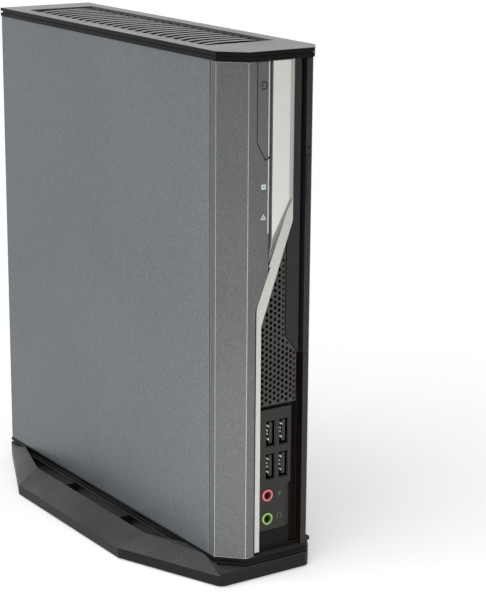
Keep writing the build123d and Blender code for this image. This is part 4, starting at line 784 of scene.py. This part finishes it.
panel_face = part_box("io_panel")[0].y - film_lift
sign_x, sign_lift = 0.0052, 0.0003
low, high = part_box("headphone_jack")
band = Vector((sign_x, panel_face, (low.z + high.z) / 2 + sign_lift))
band_in, band_out = 0.0011, 0.0014
cup_reach, cup_w, cup_h = 0.00125, 0.0006, 0.0012
bm = bmesh.new()
strip_arc(bm, band, band_in, band_out, 0.0, math.pi)
for side in (-cup_reach, cup_reach):
    bar(bm, band + Vector((side, 0, -cup_h / 2)), cup_w, cup_h)
printed("headphone_sign", bm, sign_grey, "computer")
low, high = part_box("microphone_jack")
capsule = Vector((sign_x, panel_face, (low.z + high.z) / 2 + sign_lift))
capsule_r, capsule_h = 0.00055, 0.001
cradle_in, cradle_out, cradle_drop = 0.0009, 0.0011, 0.0004
stem_w, stem_h, stem_drop = 0.0002, 0.0007, 0.0018
bm = bmesh.new()
strip_arc(bm, capsule, 0.0, capsule_r, 0.0, math.tau)
bar(bm, capsule + down * capsule_h / 2, 2 * capsule_r, capsule_h)
strip_arc(bm, capsule + down * cradle_drop, cradle_in, cradle_out, math.pi, math.pi)
bar(bm, capsule + down * stem_drop, stem_w, stem_h)
printed("microphone_sign", bm, sign_grey, "computer")

# Silver trim: a satin silver-painted moulding clipped to the front frame, a raised flat with a facet down its
# right side that runs on as a narrow slanting band to the foot of the front. Its facet and band are painted
# darker as painted shade, its flat front lighter as painted light, and its pale edges are a painted
# highlight. A black film along the band's left edge is the painted shadow of the gap that parts the band from
# the bezel.

flake_paint, scale, gives, where = pattern_group("flake paint")
flake = cell_tone(flake_paint, where, scale)
spark = sums(flake_paint, "MULTIPLY", spread(flake_paint, flake, 0.35, 1.0), 0.5)
cloud = sums(flake_paint, "MULTIPLY", noise(flake_paint, where, 9.0, detail=2.0), 0.5)
hand_out(flake_paint, gives, Tone=sums(flake_paint, "ADD", spark, cloud), Height=flake)

# The trim's tone follows which way each face turns: facets and the band are painted darker as painted shade,
# the flat front lighter as painted light, over the flake.
trim_flake_and_shade, scale, gives, where = pattern_group("trim flake and shade")
fleck = place(trim_flake_and_shade, "ShaderNodeGroup", {"node_tree": flake_paint}, {"Scale": scale}).outputs
bright = spread(trim_flake_and_shade, fleck["Tone"], 0.0, 1.0, 0.78, 1.0)
turned_to = trim_flake_and_shade.nodes.new("ShaderNodeTexCoord").outputs["Normal"]
forward = axis_part(trim_flake_and_shade, turned_to, "Y")
shaded_facet = spread(trim_flake_and_shade, forward, -0.91, -0.925, 0.2, 0.62)
lit_flat_front = spread(trim_flake_and_shade, forward, -0.96, -0.999, 0.0, 0.38)
band_shade = spread(trim_flake_and_shade, axis_part(trim_flake_and_shade, where, "Y"), -0.1199, -0.1197, 1.0, 0.68)
shade = sums(trim_flake_and_shade, "MULTIPLY", sums(trim_flake_and_shade, "ADD", shaded_facet, lit_flat_front), band_shade)
hand_out(trim_flake_and_shade, gives, Tone=sums(trim_flake_and_shade, "MULTIPLY", bright, shade), Height=fleck["Height"])
# The pale edge tone, laid on with a large share, is a painted highlight along the trim's edges.
trim_silver = finish(
    "trim silver", trim_flake_and_shade, scale=3600, dark=0x63635f, light=0xc8c8c2, rough=(0.3, 0.4),
    edge_tone_scuff_and_highlight=0xeaeae8, depth=0.000003, rounding=0.0003, edge_share_scuff_and_highlight=0.6, Metallic=0.3
)
dress(trim_silver, "trim_strip")


def strip_between(bm, first, second):
    """A strip of flat faces between two lines of the same number of points."""
    sides = [[bm.verts.new(point) for point in line] for line in (first, second)]
    for i in range(len(first) - 1):
        bm.faces.new((sides[0][i], sides[0][i + 1], sides[1][i + 1], sides[1][i]))


# A black film printed on the band's left edge: the painted shadow of the gap between band and bezel.
shadow_film_y = -119.62
shadow_film_path = (  # left edge's x, z and the gap's width, from the foot up
    (-11.6, 13.6, 1.15), (-11.6, 142.2, 1.15), (-11.34, 144.2, 1.1), (-11.03, 145.1, 1.0),
    (-3.2, 164.7, 0.95),
)
bm = bmesh.new()
strip_between(
    bm,
    [mm(x, shadow_film_y, z) for x, z, width in shadow_film_path],
    [mm(x + width, shadow_film_y, z) for x, z, width in shadow_film_path],
)
printed("band_gap_shadow", bm, frame_black, "computer")

# Bezel and power key: the same grey metallic paint on moulded plastic. A pale edge tone kept to the left
# corner, and silver films on the chamfer beside the trim, are painted highlights. The key is a flap cut out
# of the bezel at the top, with the usual sign printed on it, and two clear pipes below it show the drive and
# network lamps.

bezel_flake, scale, gives, where = pattern_group("bezel flake", "Wear")
fleck = place(bezel_flake, "ShaderNodeGroup", {"node_tree": flake_paint}, {"Scale": scale}).outputs
# Only edges left of this line take the pale edge tone: a painted highlight down the left corner.
corner_highlight = spread(bezel_flake, axis_part(bezel_flake, where, "X"), -0.0135, -0.014)
hand_out(bezel_flake, gives, Tone=fleck["Tone"], Height=fleck["Height"], Wear=corner_highlight)
bezel_paint = finish(
    "bezel paint", bezel_flake, scale=2400, dark=0x444545, light=0x636464, rough=(0.34, 0.46),
    edge_tone_scuff_and_highlight=0xd2d4d4, depth=0.000004, rounding=0.0005, edge_share_scuff_and_highlight=0.9, Metallic=0.15, Specular_Ior_Level=0.3
)
lamp_clear = finish(
    "lamp clear", spark_texture, scale=1500, dark=0x9aa8a8, light=0xaebaba, rough=(0.2, 0.3),
    edge_tone_scuff_and_highlight=0xe4ecec, depth=0.00001
)
sign_black = finish(
    "sign black", spark_texture, scale=3000, dark=0x0a0a0a, light=0x101010, rough=(0.4, 0.5),
    edge_tone_scuff_and_highlight=0x2a2a2b, depth=0.00001, rounding=0.0001
)
ridge_highlight_silver = finish(
    "ridge highlight silver", flake_paint, scale=3200, dark=0xa8a8a6, light=0xc2c2c0, rough=(0.3, 0.42),
    edge_tone_scuff_and_highlight=0xd6d6d4, depth=0.000003, Metallic=0.15
)
dress(bezel_paint, "front_bezel", "power_button")
dress(lamp_clear, "drive_light_pipe", "link_light_pipe", "indicator_lamps")
dress(socket_plastic, "power_switch")
# Silver films on the chamfer at the key's right edge and below it: a painted highlight.
ridge_line = ((-5.3, -121.02), (-4.79, -121.02), (-3.49, -119.71))  # x and y across the ridge
for name, body, foot, top in (
    ("bezel_ridge_highlight", "computer", 182.5, 219.9),
    ("key_ridge_highlight", "power_key", 221.4, 267.9),
):
    bm = bmesh.new()
    strip_between(bm, [mm(x, y, foot) for x, y in ridge_line], [mm(x, y, top) for x, y in ridge_line])
    printed(name, bm, ridge_highlight_silver, body)

key_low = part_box("power_button")[0]
sign_inset, sign_z = 0.0035, 0.2563
sign = Vector((key_low.x + sign_inset, key_low.y - film_lift, sign_z))
circle_in, circle_out, circle_half = 0.00145, 0.0023, math.radians(145)
stroke, stroke_w, stroke_h = mm(-1.2, 0, 0), 0.0022, 0.0008
bm = bmesh.new()
strip_arc(bm, sign, circle_in, circle_out, -circle_half, 2 * circle_half, steps=40)
bar(bm, sign + stroke, stroke_w, stroke_h)
printed("power_sign", bm, sign_black, "power_key")

low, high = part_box("link_light_pipe")
triangle_lift, triangle_r = 0.36, 0.26  # shares of the pipe's height
pipe = high - low
mark = Vector(((low.x + high.x) / 2, low.y - film_lift, low.z + pipe.z * triangle_lift))
bm = bmesh.new()
bmesh.ops.create_circle(
    bm, cap_ends=True, segments=3, radius=pipe.z * triangle_r, matrix=Matrix.Translation(mark) @ stand_up
)
printed("link_mark", bm, sign_black, "computer")
low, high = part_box("drive_light_pipe")
square_w, square_h = 0.3, 0.22  # shares of the pipe's width and height
pipe = high - low
mark = Vector(((low.x + high.x) / 2, low.y - film_lift, (low.z + high.z) / 2))
bm = bmesh.new()
bar(bm, mark, pipe.x * square_w, pipe.z * square_h)
printed("drive_mark", bm, sign_black, "computer")

# Drawer front: a dark satin panel with the groove and the warm strip down its right side, which hides
# the disc drawer. The eject key lies in the strip under a pinhole.

door_dark = finish(
    "door dark", column_split, scale=2400, dark=0x17181a, light=0x261f1c, rough=(0.32, 0.44),
    edge_tone_scuff_and_highlight=0x4a4541, rounding=0.0004, Specular_Ior_Level=0.25
)
dress(door_dark, "drive_bezel", "eject_button")

# Side covers: steel sheet folded at its edges and sprayed in dark metallic grey with a fine flake. A dark
# strip laid in the seam along the left cover's front edge is painted shade for the seam, and a knurled
# thumbscrew at the back holds the right cover.

cover_paint = finish(
    "cover paint", flake_paint, scale=1500, dark=0x52575a, light=0x767d80, rough=(0.34, 0.48),
    edge_tone_scuff_and_highlight=0x929a9c, depth=0.000005, rounding=0.0004, edge_share_scuff_and_highlight=0.6, Metallic=0.4
)
dress(cover_paint, "left_cover", "right_cover")
# The dark strip in the seam at the left cover's front edge is painted shade.
low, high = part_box("left_cover")
seam_shade_foot, seam_shade_w, seam_shade_t = -0.0275, 0.00095, 0.0005
seam_shade_gap, seam_shade_inset, seam_shade_edge = 0.0001, 0.0004, 0.0001
bm = bmesh.new()
block(
    bm,
    Vector((seam_shade_foot - seam_shade_t, low.y - seam_shade_gap - seam_shade_w, low.z + seam_shade_inset)),
    Vector((seam_shade_foot, low.y - seam_shade_gap, high.z - seam_shade_inset)),
    seam_shade_edge,
)
piece("cover_seam_shade", bm, foot_rubber, "computer")

low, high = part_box("cover_thumbscrew")
knurl_r, knurl_h, knurl_points, groove_share = 0.0055, 0.0055, 72, 0.94
rim_w, rim_taper, dish_w, dish_t = 0.0007, 0.97, 0.0002, 0.0006
head_lift, head_r, head_h, thread_r = 0.0046, 0.0031, 0.0008, 0.00164
foot = Vector(((low.x + high.x) / 2, high.y - knurl_h, (low.z + high.z) / 2))
bm = bmesh.new()
teeth = bmesh.ops.create_circle(bm, cap_ends=True, segments=knurl_points, radius=knurl_r)["verts"]
for v in teeth[1::2]:
    v.co *= groove_share
grown = bmesh.ops.extrude_face_region(bm, geom=list(bm.faces))["geom"]
top = verts_in(grown)
bmesh.ops.translate(bm, vec=(0, 0, knurl_h), verts=top)
cap = [f for f in grown if isinstance(f, bmesh.types.BMFace)]
bmesh.ops.inset_region(bm, faces=cap, thickness=rim_w, depth=0.0)
bmesh.ops.scale(bm, vec=(rim_taper, rim_taper, 1), verts=top)
bmesh.ops.inset_region(bm, faces=cap, thickness=dish_w, depth=-dish_t)
bmesh.ops.transform(bm, matrix=Matrix.Translation(foot) @ turn_to(rear), verts=list(bm.verts))
seat = foot + rear * head_lift
cross_screw(bm, seat, rear, head_r, head_h, thread_r, seat.y - low.y)
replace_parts(piece("knurled_thumbscrew", bm, screw_steel, "computer"), "cover_thumbscrew")

# Studio: a wide pale floor that runs out to a white surround, a very soft key from behind on the left, a
# weak low lamp before the front corner, and the camera where the photograph was taken from.

floor_r, floor_tone, floor_lift = 9.0, (0.9, 0.9, 0.9, 1), 0.3
floor_mesh = bpy.data.meshes.new("studio_floor")
bm = bmesh.new()
bmesh.ops.create_circle(bm, cap_ends=True, segments=64, radius=floor_r)
bm.to_mesh(floor_mesh)
bm.free()
studio_floor = bpy.data.objects.new("studio_floor", floor_mesh)
bpy.context.scene.collection.objects.link(studio_floor)


def background_rays(tree):
    """1 for the rays that show the surround: straight from the camera, mirrored or through glass."""
    rays = tree.nodes.new("ShaderNodeLightPath").outputs
    seen = sums(tree, "MAXIMUM", rays["Is Camera Ray"], rays["Is Glossy Ray"])
    return sums(tree, "MAXIMUM", seen, rays["Is Transmission Ray"])


floor_white = bpy.data.materials.new("floor white")
floor_white.use_nodes = True
tree = floor_white.node_tree
tree.nodes.clear()
matte = place(tree, "ShaderNodeBsdfDiffuse", {}, {"Color": floor_tone})
lift = sums(tree, "MULTIPLY", background_rays(tree), floor_lift)
glow = place(tree, "ShaderNodeEmission", {}, {"Strength": lift})
both = place(tree, "ShaderNodeAddShader", {}, {0: matte.outputs[0], 1: glow.outputs[0]})
place(tree, "ShaderNodeOutputMaterial", {}, {"Surface": both.outputs[0]})
floor_mesh.materials.append(floor_white)

surround = bpy.data.worlds.new("studio surround")
bpy.context.scene.world = surround
surround.use_nodes = True
tree = surround.node_tree
sky_light, sky_foot, sky_top = 0.7, (1, 1, 1, 1), (0.45, 0.45, 0.46, 1)
strength = spread(tree, background_rays(tree), 0.0, 1.0, sky_light, 1.0)
tree.links.new(strength, tree.nodes["Background"].inputs["Strength"])
height = axis_part(tree, tree.nodes.new("ShaderNodeTexCoord").outputs["Generated"], "Z")
sky = blend_tones(tree, spread(tree, height, 0.1, 0.9), sky_foot, sky_top)
tree.links.new(sky, tree.nodes["Background"].inputs["Color"])


def shine(name, kind, energy, at, towards):
    lamp = bpy.data.lights.new(name, kind)
    lamp.energy = energy
    made = bpy.data.objects.new(name, lamp)
    made.location = at
    made.rotation_euler = (towards - at).to_track_quat("-Z", "Y").to_euler()
    made.visible_camera = False
    bpy.context.scene.collection.objects.link(made)
    return made


case_middle, front_foot = mm(0, 0, 130), mm(0, -60, 80)
key_lamp = shine("key_lamp", "SUN", energy=1.4, at=Vector((-1.2, 0.3, 2.0)), towards=case_middle)
key_lamp.data.angle = math.radians(80)
low_lamp = shine("low_lamp", "AREA", energy=1.0, at=Vector((-0.16, -0.33, 0.04)), towards=front_foot)
low_lamp.data.shape = "RECTANGLE"
low_lamp.data.size = 0.3
low_lamp.data.size_y = 0.05
low_lamp.visible_glossy = False

azimuth, elevation, roll = (math.radians(a) for a in (-33.997, 14.838, 0.398))
aim, distance, aside, below = mm(-0.5, -15.0, 140.5), 1.037077, 0.043352, 0.015855
outward = Vector((math.sin(azimuth), -math.cos(azimuth), 0))
back = outward * math.cos(elevation) - down * math.sin(elevation)
level = Vector((math.cos(azimuth), math.sin(azimuth), 0))
upright = back.cross(level)
right = level * math.cos(roll) + upright * math.sin(roll)
up = upright * math.cos(roll) - level * math.sin(roll)
spot = aim + back * distance + right * aside - up * below
camera = bpy.data.cameras.new("photo_camera")
camera.sensor_width = 36.0
camera.lens = 113.785
camera.clip_end = 50.0
viewer = bpy.data.objects.new("photo_camera", camera)
viewer.matrix_world = Matrix.Translation(spot) @ Matrix((right, up, back)).transposed().to_4x4()
bpy.context.scene.collection.objects.link(viewer)
bpy.context.scene.camera = viewer
bpy.context.scene.view_settings.view_transform = "Standard"
